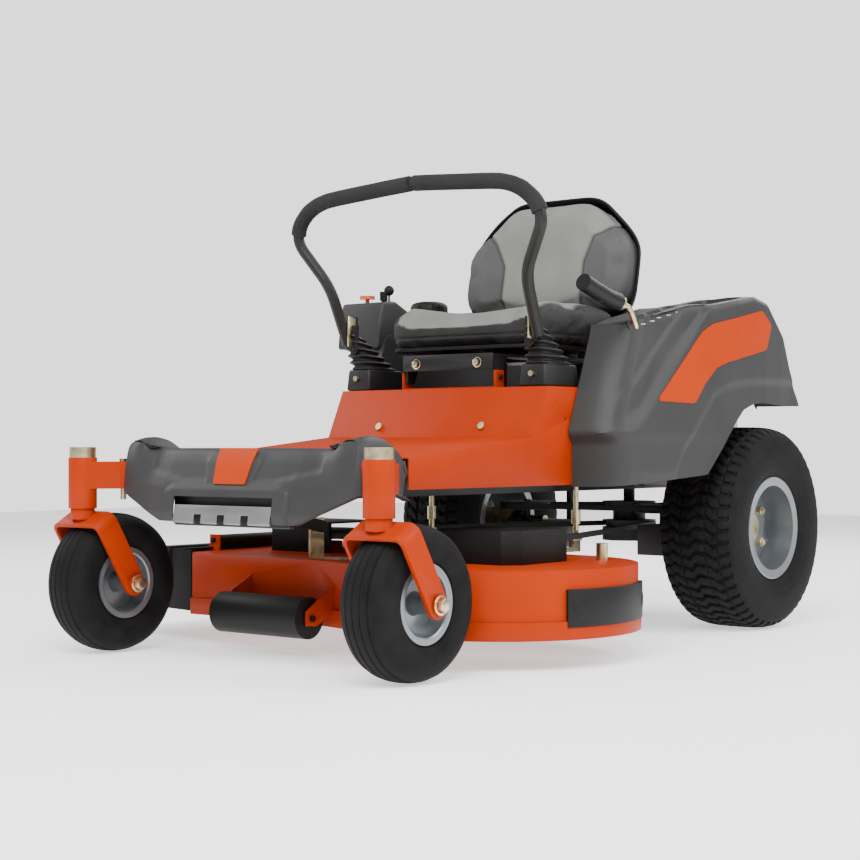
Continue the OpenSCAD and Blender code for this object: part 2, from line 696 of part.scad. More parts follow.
module boot() color(black) difference() {
    union() {
        block([208, -636, body_top], [270, -512, 584]);
        for (i = [0:2]) block([209 + i * 2, -636 - i * 5, 584 + i * 10], [269 - i * 2, -550 - i * 8,
            594 + i * 10]);
    }
    block([211, -633, body_top - 1], [267, -515, 581]);
    for (i = [0:2]) block([213 + i * 2, -632 - i * 5, 580 + i * 10], [265 - i * 2, -554 - i * 8,
        595 + i * 10]);
}

// ---- mowing deck ----

module deck_plan(r) {
    translate(left_c) circle(r);
    translate(right_c) circle(r);
    polygon([[spindle_x, -left_spindle_y - r], [-40, -right_spindle_y - r], [-395, -right_spindle_y - r],
        [-395, -right_spindle_y], [-spindle_x, -right_spindle_y + r], [spindle_x, -left_spindle_y + r]]);
}
module deck_shell() color(orange) {
    difference() {
        union() {
            translate([0, 0, deck_low]) linear_extrude(deck_top - deck_low) deck_plan(lobe_r);
            translate([0, 0, deck_low]) linear_extrude(lip_h) deck_plan(lobe_r + lip_t);
            block([tunnel_x, tunnel_front, deck_low + 20], [-395, tunnel_back, deck_top]);
        }
        translate([0, 0, deck_low - eps]) linear_extrude(deck_top - deck_low - deck_sheet + eps)
            deck_plan(lobe_r - deck_sheet);
        block([tunnel_x - eps, tunnel_front + 3, deck_low - eps], [-395, tunnel_back - 3,
            deck_top - deck_sheet]);
        // Keeps the lip out of the discharge mouth.
        block([-700, tunnel_front + 3, deck_low - eps], [tunnel_x, tunnel_back - 3, deck_top + eps]);
        for (c = [left_c, right_c]) z_rod(deck_top - 10, deck_top + 60, c[0], c[1], 22);
    }
    // Spindle housings.
    for (c = [left_c, right_c]) difference() {
        union() {
            z_rod(deck_top, deck_top + 6, c[0], c[1], 62);
            z_rod(deck_top - 40, deck_top + 20, c[0], c[1], 34);
        }
        z_rod(deck_low, 300, c[0], c[1], 10 + fit);
    }
    // Brackets of the nose roller.
    for (x = [roller_mid - roller_l / 2 - 7, roller_mid + roller_l / 2 + 2]) difference() {
        side_plate(x, x + 5, [[front_wall + 1, 92], [front_wall + 1, 150], [roller_y + 30, 122],
            [roller_y - 14, roller_z + 14], [roller_y - 14, roller_z - 14], [roller_y + 14,
                roller_z - 16]]);
        x_rod(x - 1, x + 6, roller_y, roller_z, 6 + fit);
    }
    // Hinge ears of the deflector.
    for (y = [-884, -672]) difference() {
        block([hinge_x - 14, y, deck_top], [hinge_x + 14, y + 6, hinge_z + 12]);
        y_rod(y - 1, y + 7, hinge_x, hinge_z, 5 + fit);
    }
}
module belt_cover() difference() {
    plan_plate(deck_top, 250, [[-90, -92], [80, -92], [108, -60], [108, 90], [-90, 90]]);
    plan_plate(deck_top - 1, 247, [[-93, -89], [78, -89], [105, -58], [105, 93], [-93, 93]]);
}
module belt_covers() color(charcoal) {
    translate(left_c) belt_cover();
    translate(right_c) right_hand() belt_cover();
}
module deck_bumper() color(charcoal) translate([left_c[0], left_c[1], bumper_low]) rotate([0, 0, -26])
    rotate_extrude(angle = 60) translate([lobe_r + 0.1, 0]) polygon([[lip_t, 0], [bumper_t, 0],
        [bumper_t, bumper_top - bumper_low], [0, bumper_top - bumper_low],
        [0, deck_low + lip_h - bumper_low + 0.1], [lip_t, deck_low + lip_h - bumper_low + 0.1]]);
// Hangers of the deck: two rear rods, the front bracket and the drain fitting.
module deck_links() {
    color(zinc) both() {
        block([196, -580, deck_top], [206, -410, deck_top + 10]);
        block([196, -440, deck_top], [206, -410, deck_top + 40]);
        y_rod(-440, -404, 201, deck_top + 28, 6);
        z_rod(deck_top + 28, shaft_z - 37, 201, -420, 6);
        z_rod(deck_top + 60, deck_top + 90, 201, -420, 10);
    }
    color(orange) difference() {
        union() {
            block([link_x - 22, link_rear_y - 20, deck_top], [link_x - 16, link_rear_y + 20,
                link_rear_z + 18]);
            block([link_x - 22, link_rear_y - 20, deck_top], [link_x + 60, link_rear_y + 20, deck_top + 4]);
        }
        block([link_x - 30, link_rear_y - 10, link_rear_z - 6], [link_x, link_rear_y + 13,
            link_rear_z + 6]);
    }
    color(silver) z_rod(deck_top, deck_top + 34, 400, -620, 12);
}
module mower_belt() color(black) difference() {
    belt_loop(belt_t / 2);
    belt_loop(-belt_t / 2);
}
module belt_loop(o) translate([0, 0, pulley_z - belt_w / 2 - (o < 0 ? 1 : 0)])
    linear_extrude(belt_w + (o < 0 ? 2 : 0)) hull() {
        translate(left_c) circle(spindle_pulley_r + o);
        translate(right_c) circle(spindle_pulley_r + o);
        translate([0, crank_y]) circle(crank_pulley_r + o);
    }
module drive_belt() color(black) translate([0, 0,
    drive_z - belt_w / 2]) linear_extrude(belt_w) difference() {
    hull() {
        for (x = [-196, 196]) translate([x, -50]) circle(drive_pulley_r + belt_t / 2);
        translate([0, crank_y]) circle(crank_pulley_r + belt_t / 2);
    }
    hull() {
        for (x = [-196, 196]) translate([x, -50]) circle(drive_pulley_r - belt_t / 2);
        translate([0, crank_y]) circle(crank_pulley_r - belt_t / 2);
    }
}
module spindle(c) color(charcoal) difference() {
    union() {
        z_rod(blade_z + blade_t, pulley_z + 20, c[0], c[1], 10);
        z_rod(blade_z + blade_t, deck_top - 41, c[0], c[1], 26);
        z_rod(pulley_z - 10, pulley_z + 10, c[0], c[1], spindle_pulley_r + 4);
    }
    groove(c[0], c[1], pulley_z, spindle_pulley_r);
}
module blade(c, turn) color(silver) {
    translate([c[0], c[1], blade_z]) rotate([0, 0, turn]) difference() {
        union() {
            translate([-blade_r, -blade_w / 2, 0]) cube([2 * blade_r, blade_w, blade_t]);
            for (s = [0, 180]) rotate([0, 0, s]) translate([blade_r - 90, blade_w / 2 - 8, 0])
                rotate([28, 0, 0]) cube([88, 26, blade_t]);
        }
        difference() {
            cylinder(h = 60, r = far, center = true);
            cylinder(h = 62, r = blade_r, center = true);
        }
    }
    z_rod(blade_z - 12, blade_z, c[0], c[1], 15);
}
// Spring-held deflector: a flap over the deck edge that slopes down outside it.
module discharge_chute() {
    y0 = front_wall + 5;
    y1 = -655;
    color(black) difference() {
        union() {
            side_flap(y0, y1, [[hinge_x, deck_top + 8], [-556, deck_top + 8], [chute_reach, 96],
                [chute_reach, 70], [chute_reach + 6, 70], [chute_reach + 6, 98], [-554, deck_top + 3],
                [hinge_x, deck_top + 3]]);
            side_flap(y0, y0 + 5, [[-404, deck_top + 6], [-556, deck_top + 8], [chute_reach, 96],
                [chute_reach, 70], [-404, 62]]);
            side_flap(y1 - 5, y1, [[-552, deck_top + 6], [chute_reach, 96], [chute_reach, 70], [-552, 66]]);
        }
        for (y = [-884, -672]) block([hinge_x - 20, y - 2, deck_top], [hinge_x + 20, y + 8, hinge_z + 20]);
    }
    color(orange) {
        difference() {
            y_rod(-876, -674, hinge_x, hinge_z, 11);
            y_rod(-890, -660, hinge_x, hinge_z, 5);
        }
        block([hinge_x - 40, -870, deck_top + 8], [hinge_x, -680, deck_top + 12]);
        block([hinge_x - 6, -870, deck_top + 8], [hinge_x + 6, -680, hinge_z - 6]);
        block([-505, y0 - 4, 125], [-465, y0, deck_top + 12]);
        block([-505, y0 - 4, deck_top + 8], [-465, -880, deck_top + 12]);
    }
    color(zinc) y_rod(-890, -660, hinge_x, hinge_z, 5);
}
// An outline drawn in X and Z, given its depth along Y.
module side_flap(y0, y1, points) translate([0, y1, 0]) rotate([90, 0, 0]) linear_extrude(y1 - y0)
    polygon(points);
module nose_roller() {
    color(charcoal) x_rod(roller_mid - roller_l / 2, roller_mid + roller_l / 2, roller_y, roller_z,
        roller_d / 2);
    color(zinc) x_rod(roller_mid - roller_l / 2 - 12, roller_mid + roller_l / 2 + 12, roller_y,
        roller_z, 6);
}

// ---- deck lift ----

module lift_lever() {
    color(zinc) sweep(smooth_path([[lever_x, lever_y, lever_z + 10], [lever_x, -446, 665],
        [lever_x, -474, 704], [lever_x, -520, 712]], 16, 4), 6, 12);
    color(zinc) x_rod(330, lever_x + 8, lever_y, lever_z, 8);
    color(zinc) difference() {
        side_plate(lever_x - 6, lever_x + 6, [[lever_y - 16, lever_z - 16], [lever_y + 16, lever_z - 16],
            [lever_y + 6, lever_z + 40], [lever_y - 22, lever_z + 40]]);
        x_rod(lever_x - 7, lever_x + 7, lever_y, lever_z, 8);
    }
    color(charcoal) sweep(smooth_path([[lever_x, -505, 710], [lever_x, -560, 716], [lever_x, -640, 742]],
        30, 4), 15, 16);
}
module lift_shaft() color(charcoal) {
    x_rod(-268, 268, shaft_y, shaft_z, shaft_r);
    both() difference() {
        side_plate(212, 220, [[shaft_y + 14, shaft_z + 14], [shaft_y + 14, shaft_z - 14],
            [shaft_y - lift_arm - 10, shaft_z - 42], [shaft_y - lift_arm - 10, shaft_z - 20],
            [shaft_y, shaft_z + 16]]);
        x_rod(205, 225, shaft_y, shaft_z, shaft_r);
    }
    both() x_rod(186, 214, shaft_y - lift_arm, shaft_z - 30, 5);
}
module front_link() color(black) {
    side_plate(link_x - 6, link_x + 6, [[link_y - 12, link_z + 10], [link_y - 12, link_z - 10],
        [link_rear_y - 4, link_rear_z - 12], [link_rear_y + 12, link_rear_z],
        [link_rear_y, link_rear_z + 12]]);
    x_rod(link_x - 18, link_x + 18, link_y, link_z, 6);
    x_rod(link_x - 26, link_x - 6, link_rear_y, link_rear_z, 5);
}

// ---- seat ----

module seat_base() {
    color(black) {
        difference() {
            block([-122, bar_y, plate_z], [122, -210, plate_z + plate_t]);
            block([-60, -520, plate_z - 1], [60, -330, plate_z + plate_t + 1]);
        }
        block([-123, bar_y - 5, plate_z - 28], [123, bar_y + 1, plate_z + plate_t + 0.5]);
        both() side_plate(seat_hinge_x - 12, seat_hinge_x - 7, [[seat_hinge_y - 12, seat_hinge_z - 10],
            [seat_hinge_y + 12, seat_hinge_z - 10], [-562, plate_z + 2], [bar_y + 3, plate_z + 2]]);
    }
    color(zinc) both() {
        x_rod(seat_hinge_x - 10, seat_hinge_x + 6, seat_hinge_y, seat_hinge_z, 5);
        y_rod(bar_y - 11, bar_y - 4, 83.5, plate_z - 12, 9);
    }
}
module seat_shell() color(charcoal) {
    // Slide runners and the pan under the cushion.
    both() block([60, -560, plate_z + plate_t], [84, -240, plate_z + plate_t + 12]);
    translate([0, (cushion_front + cushion_back) / 2 + 6, plate_z + plate_t + 12])
        linear_extrude(7.7) rounded(cushion_w - 90, cushion_back - cushion_front - 24, 50);
    translate([0, back_y, back_z]) rotate([-recline, 0, 0]) translate([0, back_t + 6.3, 0]) rotate([90,
        0, 0])
        linear_extrude(6) translate([0, back_h / 2 - 6]) rounded(back_w - 20, back_h - 8, 100);
    // Struts from the pan to the back shell.
    both() side_plate(150, 162, [[-330, plate_z + plate_t + 6], [-250, plate_z + plate_t + 6],
        [-140, 672], [-108, 800], [-144, 800], [-173.5, 692], [-178, 676], [-258, cushion_z - 7.5],
        [-330, cushion_z - 7.5]]);
}
module seat_cushion() color([0.6, 0.6, 0.58])
    translate([0, (cushion_front + cushion_back) / 2, cushion_z]) linear_extrude(cushion_t)
        rounded(cushion_w, cushion_back - cushion_front, 70);
module seat_back() color([0.6, 0.6, 0.58])
    translate([0, back_y, back_z]) rotate([-recline, 0, 0]) translate([0, back_t, 0])
        rotate([90, 0, 0]) linear_extrude(back_t - 0.4) translate([0, back_h / 2]) rounded(back_w,
            back_h, 100);

// ---- small controls ----

module pto_knob() color([0.85, 0.2, 0.1]) translate(knob_at) {
    z_rod(console_top - 30, console_top + 8, 0, 0, 5);
    z_rod(console_top + 8, console_top + 16, 0, 0, 18);
}
module throttle_lever() color(black) translate(throttle_at) {
    translate([0, 0, console_top + 26]) sphere(r = 12);
    z_rod(console_top - 14, console_top + 20, 0, 0, 2.4);
    x_rod(-4, 4, 0, console_top - 14, 5);
}
module ignition_key() color(black) translate(key_at) {
    z_rod(console_top - 20, console_top + 4, 0, 0, 6);
    block([-2, -12, console_top + 4], [2, 12, console_top + 26]);
}
module fuel_cap() color(black) {
    difference() {
        z_rod(cap_z - 11, cap_z + 30, tank_x, cap_y, 46);
        z_rod(cap_z - 15, cap_z + 24, tank_x, cap_y, 42);
    }
    z_rod(cap_z - 19.7, cap_z + 25, tank_x, cap_y, 24.5);
}
module chassis_fasteners() color(zinc) both() {
    z_rod(barrel_top, barrel_top + cap_h, king_x, king_y, 26);
    // Beam bolts beside the nose.
    z_rod(beam_low + beam_h, beam_low + beam_h + 6, 344, -1229, 8);
    z_rod(beam_low - 22, beam_low, 344, -1229, 6);
    // Screws of the seat box front.
    translate([140, -676.95, 455.02]) rotate([65.22, 0, 0]) cylinder(h = 5, r = 8);
    y_rod(-644, -636, 240, 564, 6);
}

in_frame() frame();
in_frame() front_axle_beam();
in_frame() foot_pan();
in_frame() toe_step_plate();
in_frame() front_body_panel();
in_frame() left_fender();
in_frame() right_fender();
in_frame() fuel_tank();
in_frame() battery();
in_frame() engine_block();
in_frame() engine_shroud();
in_frame() transaxles();
in_frame() rear_guard();
in_frame() boot();  // left_boot
in_frame() right_hand() boot();  // right_boot
in_frame() chassis_fasteners();
in_frame() drive_belt();
in_frame() caster_fork();  // left_caster_fork
in_frame() right_hand() caster_fork();  // right_caster_fork
in_frame() front_rim();  // left_front_rim
in_frame() right_hand() front_rim();  // right_front_rim
in_frame() front_tyre();  // left_front_tyre
in_frame() right_hand() front_tyre();  // right_front_tyre
in_frame() rear_tyre();  // left_rear_tyre
in_frame() right_hand() rear_tyre();  // right_rear_tyre
in_frame() rear_rim();  // left_rear_rim
in_frame() right_hand() rear_rim();  // right_rear_rim
in_frame() axle_hub();  // left_axle_hub
in_frame() right_hand() axle_hub();  // right_axle_hub
in_frame() control_arm();  // left_control_arm
in_frame() right_hand() control_arm();  // right_control_arm
in_frame() lap_bar();  // left_lap_bar
in_frame() right_hand() lap_bar();  // right_lap_bar
in_frame() grip();  // left_grip
in_frame() right_hand() grip();  // right_grip
in_frame() deck_shell();
in_frame() belt_covers();
in_frame() deck_bumper();
in_frame() deck_links();
in_frame() mower_belt();
in_frame() spindle(left_c);  // left_spindle
in_frame() spindle(right_c);  // right_spindle
in_frame() blade(left_c, 20);  // left_blade
in_frame() blade(right_c, 110);  // right_blade
in_frame() discharge_chute();
in_frame() nose_roller();
in_frame() lift_lever();
in_frame() lift_shaft();
in_frame() front_link();
in_frame() seat_base();
in_frame() seat_shell();
in_frame() seat_cushion();
in_frame() seat_back();
in_frame() pto_knob();
in_frame() throttle_lever();
in_frame() ignition_key();
in_frame() fuel_cap();
in_frame() crank_pulley();
in_frame() drive_pulley();  // left_drive_pulley
in_frame() right_hand() drive_pulley();  // right_drive_pulley
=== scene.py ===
import json
import math

import bmesh
import bpy
import numpy as np
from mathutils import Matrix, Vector


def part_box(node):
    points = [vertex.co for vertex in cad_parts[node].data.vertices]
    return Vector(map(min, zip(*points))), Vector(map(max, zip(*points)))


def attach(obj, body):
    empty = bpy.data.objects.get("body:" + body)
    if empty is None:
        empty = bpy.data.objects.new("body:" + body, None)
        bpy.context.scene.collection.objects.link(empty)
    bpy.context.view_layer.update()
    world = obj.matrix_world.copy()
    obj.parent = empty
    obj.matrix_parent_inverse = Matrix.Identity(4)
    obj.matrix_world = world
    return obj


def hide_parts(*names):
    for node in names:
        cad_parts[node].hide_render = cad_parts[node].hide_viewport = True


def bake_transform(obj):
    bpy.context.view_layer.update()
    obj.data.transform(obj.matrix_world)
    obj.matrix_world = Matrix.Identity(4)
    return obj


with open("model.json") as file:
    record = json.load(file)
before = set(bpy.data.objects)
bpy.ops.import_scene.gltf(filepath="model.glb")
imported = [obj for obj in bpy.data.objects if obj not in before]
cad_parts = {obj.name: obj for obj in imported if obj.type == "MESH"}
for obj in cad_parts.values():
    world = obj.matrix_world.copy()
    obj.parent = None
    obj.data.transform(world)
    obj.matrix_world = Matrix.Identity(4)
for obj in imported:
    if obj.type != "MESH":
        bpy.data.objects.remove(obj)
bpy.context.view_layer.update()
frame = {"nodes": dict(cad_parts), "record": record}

# ---------------------------------------------------------------------------
# Studio: a pale seamless floor under broad soft lights, with the camera low
# in front of the machine's left side.
# The machine's own mid-plane and rear axle give every place below, so that a
# point reads as millimetres left of the middle, behind the axle and up.
mid_x = (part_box("left_rear_tyre")[0].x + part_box("right_rear_tyre")[1].x) / 2
axle = (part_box("left_rear_tyre")[0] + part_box("left_rear_tyre")[1]) / 2


def at(x, y, z):
    return Vector((mid_x + x / 1000, axle.y + y / 1000, z / 1000))


bpy.ops.object.camera_add(location=at(2352.06, -3587.01, 415.98),
                          rotation=(math.radians(90.49), 0, math.radians(38.93)))
camera = bpy.context.object
camera.data.lens = 73.55
camera.data.sensor_width = 36
bpy.context.scene.camera = camera

bpy.ops.mesh.primitive_plane_add(size=13, location=(0, 0, -0.0005))
floor = bpy.context.object
floor.name = "studio_floor"

for place, size, power in (((1500, -3300, 3300), 2.6, 260), ((3600, 400, 2600), 2.2, 120),
                           ((-3400, -1500, 2400), 2.6, 70), ((0, 2600, 3000), 3.0, 110)):
    spot = at(*place)
    turn = (at(0, -500, 350) - spot).to_track_quat("-Z", "Y").to_euler()
    bpy.ops.object.light_add(type="AREA", location=spot, rotation=turn)
    bpy.context.object.data.size = size
    bpy.context.object.data.energy = power
world = bpy.data.worlds.new("studio")
bpy.context.scene.world = world
world.use_nodes = True
world.node_tree.nodes["Background"].inputs[0].default_value = (1, 1, 1, 1)
world.node_tree.nodes["Background"].inputs[1].default_value = 0.5
backdrop = world.node_tree.nodes.new("ShaderNodeBackground")
backdrop.inputs[1].default_value = 2.4
seen = world.node_tree.nodes.new("ShaderNodeLightPath")
either = world.node_tree.nodes.new("ShaderNodeMixShader")
for start, end in ((seen.outputs["Is Camera Ray"], either.inputs[0]), (backdrop.outputs[0], either.inputs[2]),
                   (world.node_tree.nodes["Background"].outputs[0], either.inputs[1]),
                   (either.outputs[0], world.node_tree.nodes["World Output"].inputs[0])):
    world.node_tree.links.new(start, end)


class Tex:
    """A value on its way between the nodes of one material."""

    def __init__(self, tree, socket):
        self.tree, self.socket = tree, socket

    def make(self, kind, *links, out=0, **settings):
        node = self.tree.nodes.new("ShaderNode" + kind)
        for key, value in settings.items():
            setattr(node, key, value)
        for key, value in links:
            if isinstance(value, Tex):
                self.tree.links.new(value.socket, node.inputs[key])
            else:
                node.inputs[key].default_value = value
        return Tex(self.tree, node.outputs[out])

    def maths(self, operation, a, b=0.0):
        return self.make("Math", (0, a), (1, b), operation=operation)

    def __add__(self, other):
        return self.maths("ADD", self, other)

    def __radd__(self, other):
        return self.maths("ADD", other, self)

    def __sub__(self, other):
        return self.maths("SUBTRACT", self, other)

    def __rsub__(self, other):
        return self.maths("SUBTRACT", other, self)

    def __mul__(self, other):
        return self.maths("MULTIPLY", self, other)

    def __rmul__(self, other):
        return self.maths("MULTIPLY", other, self)

    def __truediv__(self, other):
        return self.maths("DIVIDE", self, other)

    def __rtruediv__(self, other):
        return self.maths("DIVIDE", other, self)

    def band(self, low, high):
        return self.make("MapRange", ("Value", self), ("From Min", low), ("From Max", high))

    def noise(self, scale, detail=3.0, stretch=None):
        where = self if stretch is None else self.make("VectorMath", (0, self), (1, stretch),
                                                       operation="MULTIPLY")
        return where.make("TexNoise", ("Vector", where), ("Scale", scale), ("Detail", detail))

    def cells(self, scale):
        return self.make("TexVoronoi", ("Vector", self), ("Scale", scale))

    def mix(self, a, b):
        tint = self.make("Mix", ("Factor", self), data_type="RGBA")
        node = tint.socket.node
        for slot, value in ((6, a), (7, b)):
            if isinstance(value, Tex):
                self.tree.links.new(value.socket, node.inputs[slot])
            else:
                node.inputs[slot].default_value = (*value, 1)
        return Tex(self.tree, node.outputs[2])


def shader(name, metallic=0.0, coat=0.0, gloss=0.35):
    made = bpy.data.materials.new(name)
    made.use_nodes = True
    tree = made.node_tree
    bsdf = tree.nodes["Principled BSDF"]
    bsdf.inputs["Metallic"].default_value = metallic
    bsdf.inputs["Coat Weight"].default_value = coat
    bsdf.inputs["Coat Roughness"].default_value = 0.12
    bsdf.inputs["Specular IOR Level"].default_value = gloss
    return made, bsdf, Tex(tree, tree.nodes.new("ShaderNodeTexCoord").outputs["Object"])


def feed(bsdf, colour=None, rough=None, height=None, depth=0.0002):
    for key, value in (("Base Color", colour), ("Roughness", rough)):
        if value is not None:
            value.tree.links.new(value.socket, bsdf.inputs[key])
    if height is not None:
        bump = height.make("Bump", ("Height", height), ("Distance", depth), ("Strength", 0.8))
        bump.tree.links.new(bump.socket, bsdf.inputs["Normal"])


def moulded(name, colour, rough=0.45, spread=0.12, grain=900, depth=0.0002, coat=0.0, metallic=0.0,
            stretch=None, cloud=9, gloss=0.3):
    made, bsdf, place = shader(name, metallic, coat, gloss)
    drift = place.noise(cloud, 4)
    fine = place.noise(grain, 2, stretch)
    dark = tuple(c * (1 - spread) for c in colour)
    light = tuple(min(1, c * (1 + spread)) for c in colour)
    feed(bsdf, drift.band(0.3, 0.7).mix(dark, light), drift * 0.16 + fine * 0.1 + (rough - 0.13), fine, depth)
    return made


floor.data.materials.append(moulded("pale_floor", (0.95, 0.95, 0.95), 0.7, 0.01, 60, 0.00005, gloss=0.1))
floor_finish = floor.data.materials[0].node_tree.nodes["Principled BSDF"]
floor_finish.inputs["Emission Color"].default_value = (1, 1, 1, 1)
floor.data.materials[0].node_tree.nodes["Principled BSDF"].inputs["Emission Strength"].default_value = 0.8


def coat_node(material, *nodes):
    for node in nodes:
        frame["nodes"][node].data.materials.clear()
        frame["nodes"][node].data.materials.append(material)


body_of = {n: b for b, ns in frame["record"]["behaviour"]["bodies"].items() for n in ns}


def place_piece(obj, material, node, body=None):
    if material is not None:
        obj.data.materials.clear()
        obj.data.materials.append(material)
    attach(obj, body or body_of[node])
    if node:
        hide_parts(node)
    return obj


# A machined or folded part has no knife edges: a copy of its CAD mesh is
# merged, its flat faces joined, and every sharp edge rounded over.
def softened(node, width, material, segments=2, drop=None):
    made = bpy.data.objects.new(node + "_finished", frame["nodes"][node].data.copy())
    bpy.context.scene.collection.objects.link(made)
    shape = bmesh.new()
    shape.from_mesh(made.data)
    if drop:
        bmesh.ops.delete(shape, geom=[v for v in shape.verts if drop(v.co)], context="VERTS")
    bmesh.ops.remove_doubles(shape, verts=shape.verts, dist=0.00002)
    bmesh.ops.dissolve_limit(shape, angle_limit=math.radians(1.5), verts=shape.verts, edges=shape.edges)
    shape.to_mesh(made.data)
    shape.free()
    bpy.ops.object.select_all(action="DESELECT")
    made.select_set(True)
    bpy.context.view_layer.objects.active = made
    edge = made.modifiers.new("edge", "BEVEL")
    edge.width = width
    edge.segments = segments
    edge.angle_limit = math.radians(32)
    bpy.ops.object.modifier_apply(modifier="edge")
    bpy.ops.object.shade_smooth_by_angle(angle=math.radians(35))
    return place_piece(made, material, node)


def from_grid(name, points, closed=False):
    """A sheet of quads through a table of rows of points."""
    rows, columns = len(points), len(points[0])
    bpy.ops.mesh.primitive_grid_add(x_subdivisions=columns - 1, y_subdivisions=rows - 1, size=1)
    made = bpy.context.object
    made.name = name
    flat = np.array([[tuple(p) for p in row] for row in points], float).reshape(-1, 3)
    made.data.vertices.foreach_set("co", flat.ravel())
    made.data.update()
    return made


def finish_mesh(obj, angle=40, outward=True):
    bpy.ops.object.select_all(action="DESELECT")
    obj.select_set(True)
    bpy.context.view_layer.objects.active = obj
    bpy.ops.object.mode_set(mode="EDIT")
    bpy.ops.mesh.select_all(action="SELECT")
    bpy.ops.mesh.remove_doubles(threshold=0.00002)
    if outward:
        bpy.ops.mesh.normals_make_consistent(inside=False)
    bpy.ops.object.mode_set(mode="OBJECT")
    bpy.ops.object.shade_smooth_by_angle(angle=math.radians(angle))


orange = moulded("orange_powder_coat", (0.36, 0.026, 0.0004), 0.42, 0.05, 700, 0.00012, coat=0.03, gloss=0.08)
black = moulded("black_powder_coat", (0.009, 0.009, 0.009), 0.42, 0.25, 800, 0.00015)
grey = moulded("shade_grey_plastic", (0.0295, 0.0295, 0.03), 0.48, 0.07, 1400, 0.00012, gloss=0.25)
dark = moulded("black_plastic", (0.007, 0.007, 0.0073), 0.5, 0.2, 1200, 0.0002, gloss=0.2)
zinc = moulded("yellow_zinc", (0.62, 0.53, 0.32), 0.3, 0.25, 500, 0.0001, metallic=1.0, cloud=60)
alloy = moulded("brushed_alloy", (0.26, 0.26, 0.26), 0.45, 0.08, 60, 0.00006, metallic=0.85,
                stretch=(1, 30, 30))
cast = moulded("cast_alloy", (0.4, 0.4, 0.41), 0.5, 0.15, 300, 0.0004, metallic=0.8)
iron = moulded("painted_iron", (0.03, 0.03, 0.032), 0.5, 0.25, 350, 0.0004)
rim_silver = moulded("rim_silver", (0.2, 0.215, 0.23), 0.34, 0.1, 700, 0.0001, coat=0.3, metallic=0.7)
rubber = moulded("belt_rubber", (0.008, 0.008, 0.008), 0.7, 0.2, 500, 0.0002)
steel = moulded("ground_steel", (0.5, 0.5, 0.5), 0.35, 0.12, 90, 0.0001, metallic=1.0, stretch=(30, 2, 30))

for node, width, material in (
        ("frame", 0.0025, black), ("front_axle_beam", 0.003, orange), ("front_body_panel", 0.0012, orange),
        ("toe_step_plate", 0.0006, alloy), ("battery", 0.003, dark),
        ("engine_block", 0.002, cast), ("engine_shroud", 0.004, dark), ("transaxles", 0.005, iron),
        ("rear_guard", 0.0015, black), ("left_caster_fork", 0.002, orange),
        ("right_caster_fork", 0.002, orange),
        ("deck_shell", 0.0014, orange), ("belt_covers", 0.004, dark), ("deck_bumper", 0.0015, dark),
        ("discharge_chute", 0.0015, dark), ("seat_base", 0.0012, black)):
    softened(node, width, material)
coat_node(zinc, "chassis_fasteners", "left_axle_hub", "right_axle_hub", "deck_links", "lift_lever")
coat_node(black, "left_control_arm", "right_control_arm", "left_lap_bar", "right_lap_bar", "lift_shaft",
          "front_link")
coat_node(dark, "fuel_tank", "throttle_lever", "ignition_key", "nose_roller")
coat_node(rubber, "drive_belt", "mower_belt")
coat_node(iron, "crank_pulley", "left_drive_pulley", "right_drive_pulley", "left_spindle", "right_spindle")
coat_node(steel, "left_blade", "right_blade")
coat_node(rim_silver, "left_front_rim", "right_front_rim", "left_rear_rim", "right_rear_rim")
coat_node(moulded("knob_red", (0.75, 0.1, 0.04), 0.3, 0.05, 400, 0.00005, coat=0.4), "pto_knob")


# ---------------------------------------------------------------------------
# Foam hand grips: black closed-cell sleeves pushed over the lap bars from their inner ends round the outer bend, with
# flat closed ends.
foam, bsdf, place = shader("grip_foam")
pores = place.cells(900)
soft = place.noise(14, 4)
feed(bsdf, soft.band(0.3, 0.7).mix((0.008, 0.008, 0.008), (0.016, 0.016, 0.016)), soft * 0.2 + 0.72,
     pores + place.noise(260, 3) * 0.8, 0.0006)


def tube(name, route, radius, sides=20, ends=True):
    """A round tube through smoothed points, closed with flat caps when ends is set."""
    bpy.ops.curve.primitive_nurbs_path_add()
    line = bpy.context.object
    line.data.splines.clear()
    spline = line.data.splines.new("BEZIER")
    spline.bezier_points.add(len(route) - 1)
    for point, spot in zip(spline.bezier_points, route):
        point.co = spot
        point.handle_left_type = point.handle_right_type = "AUTO"
    line.data.resolution_u = 8
    line.data.bevel_depth = radius
    line.data.bevel_resolution = sides // 4
    line.data.use_fill_caps = ends
    bpy.ops.object.select_all(action="DESELECT")
    line.select_set(True)
    bpy.context.view_layer.objects.active = line
    bpy.ops.object.convert(target="MESH")
    line.location = (0, 0, 0)
    line.name = name
    bpy.ops.object.shade_smooth_by_angle(angle=math.radians(50))
    return line


for side, sign in (("left", 1), ("right", -1)):
    bar = [(5.5, -734, 967.5), (9, -734, 967), (60, -736, 963.5), (120, -738, 959), (180, -740, 954.5),
           (215, -741, 951.5),
           (246, -741.5, 947), (280, -741, 935), (306, -739, 917), (322, -736, 898), (328, -733.5, 882)]
    grip = tube(side + "_grip_foam", [at(sign * x, y, z) for x, y, z in bar], 0.0168, 28)
    place_piece(grip, foam, side + "_grip")

# ---------------------------------------------------------------------------
# Drive tyres: turf tread on a wide crown, moulded rubber. Each is one skin
# turned about the axle, with wavy cross bars cut by grooves.
tread, bsdf, place = shader("tyre_rubber", gloss=0.12)
dust = place.noise(30, 5)
feed(bsdf, dust.band(0.35, 0.75).mix((0.004, 0.004, 0.004), (0.01, 0.0097, 0.0094)), dust * 0.2 + 0.6,
     place.noise(700, 2), 0.0003)


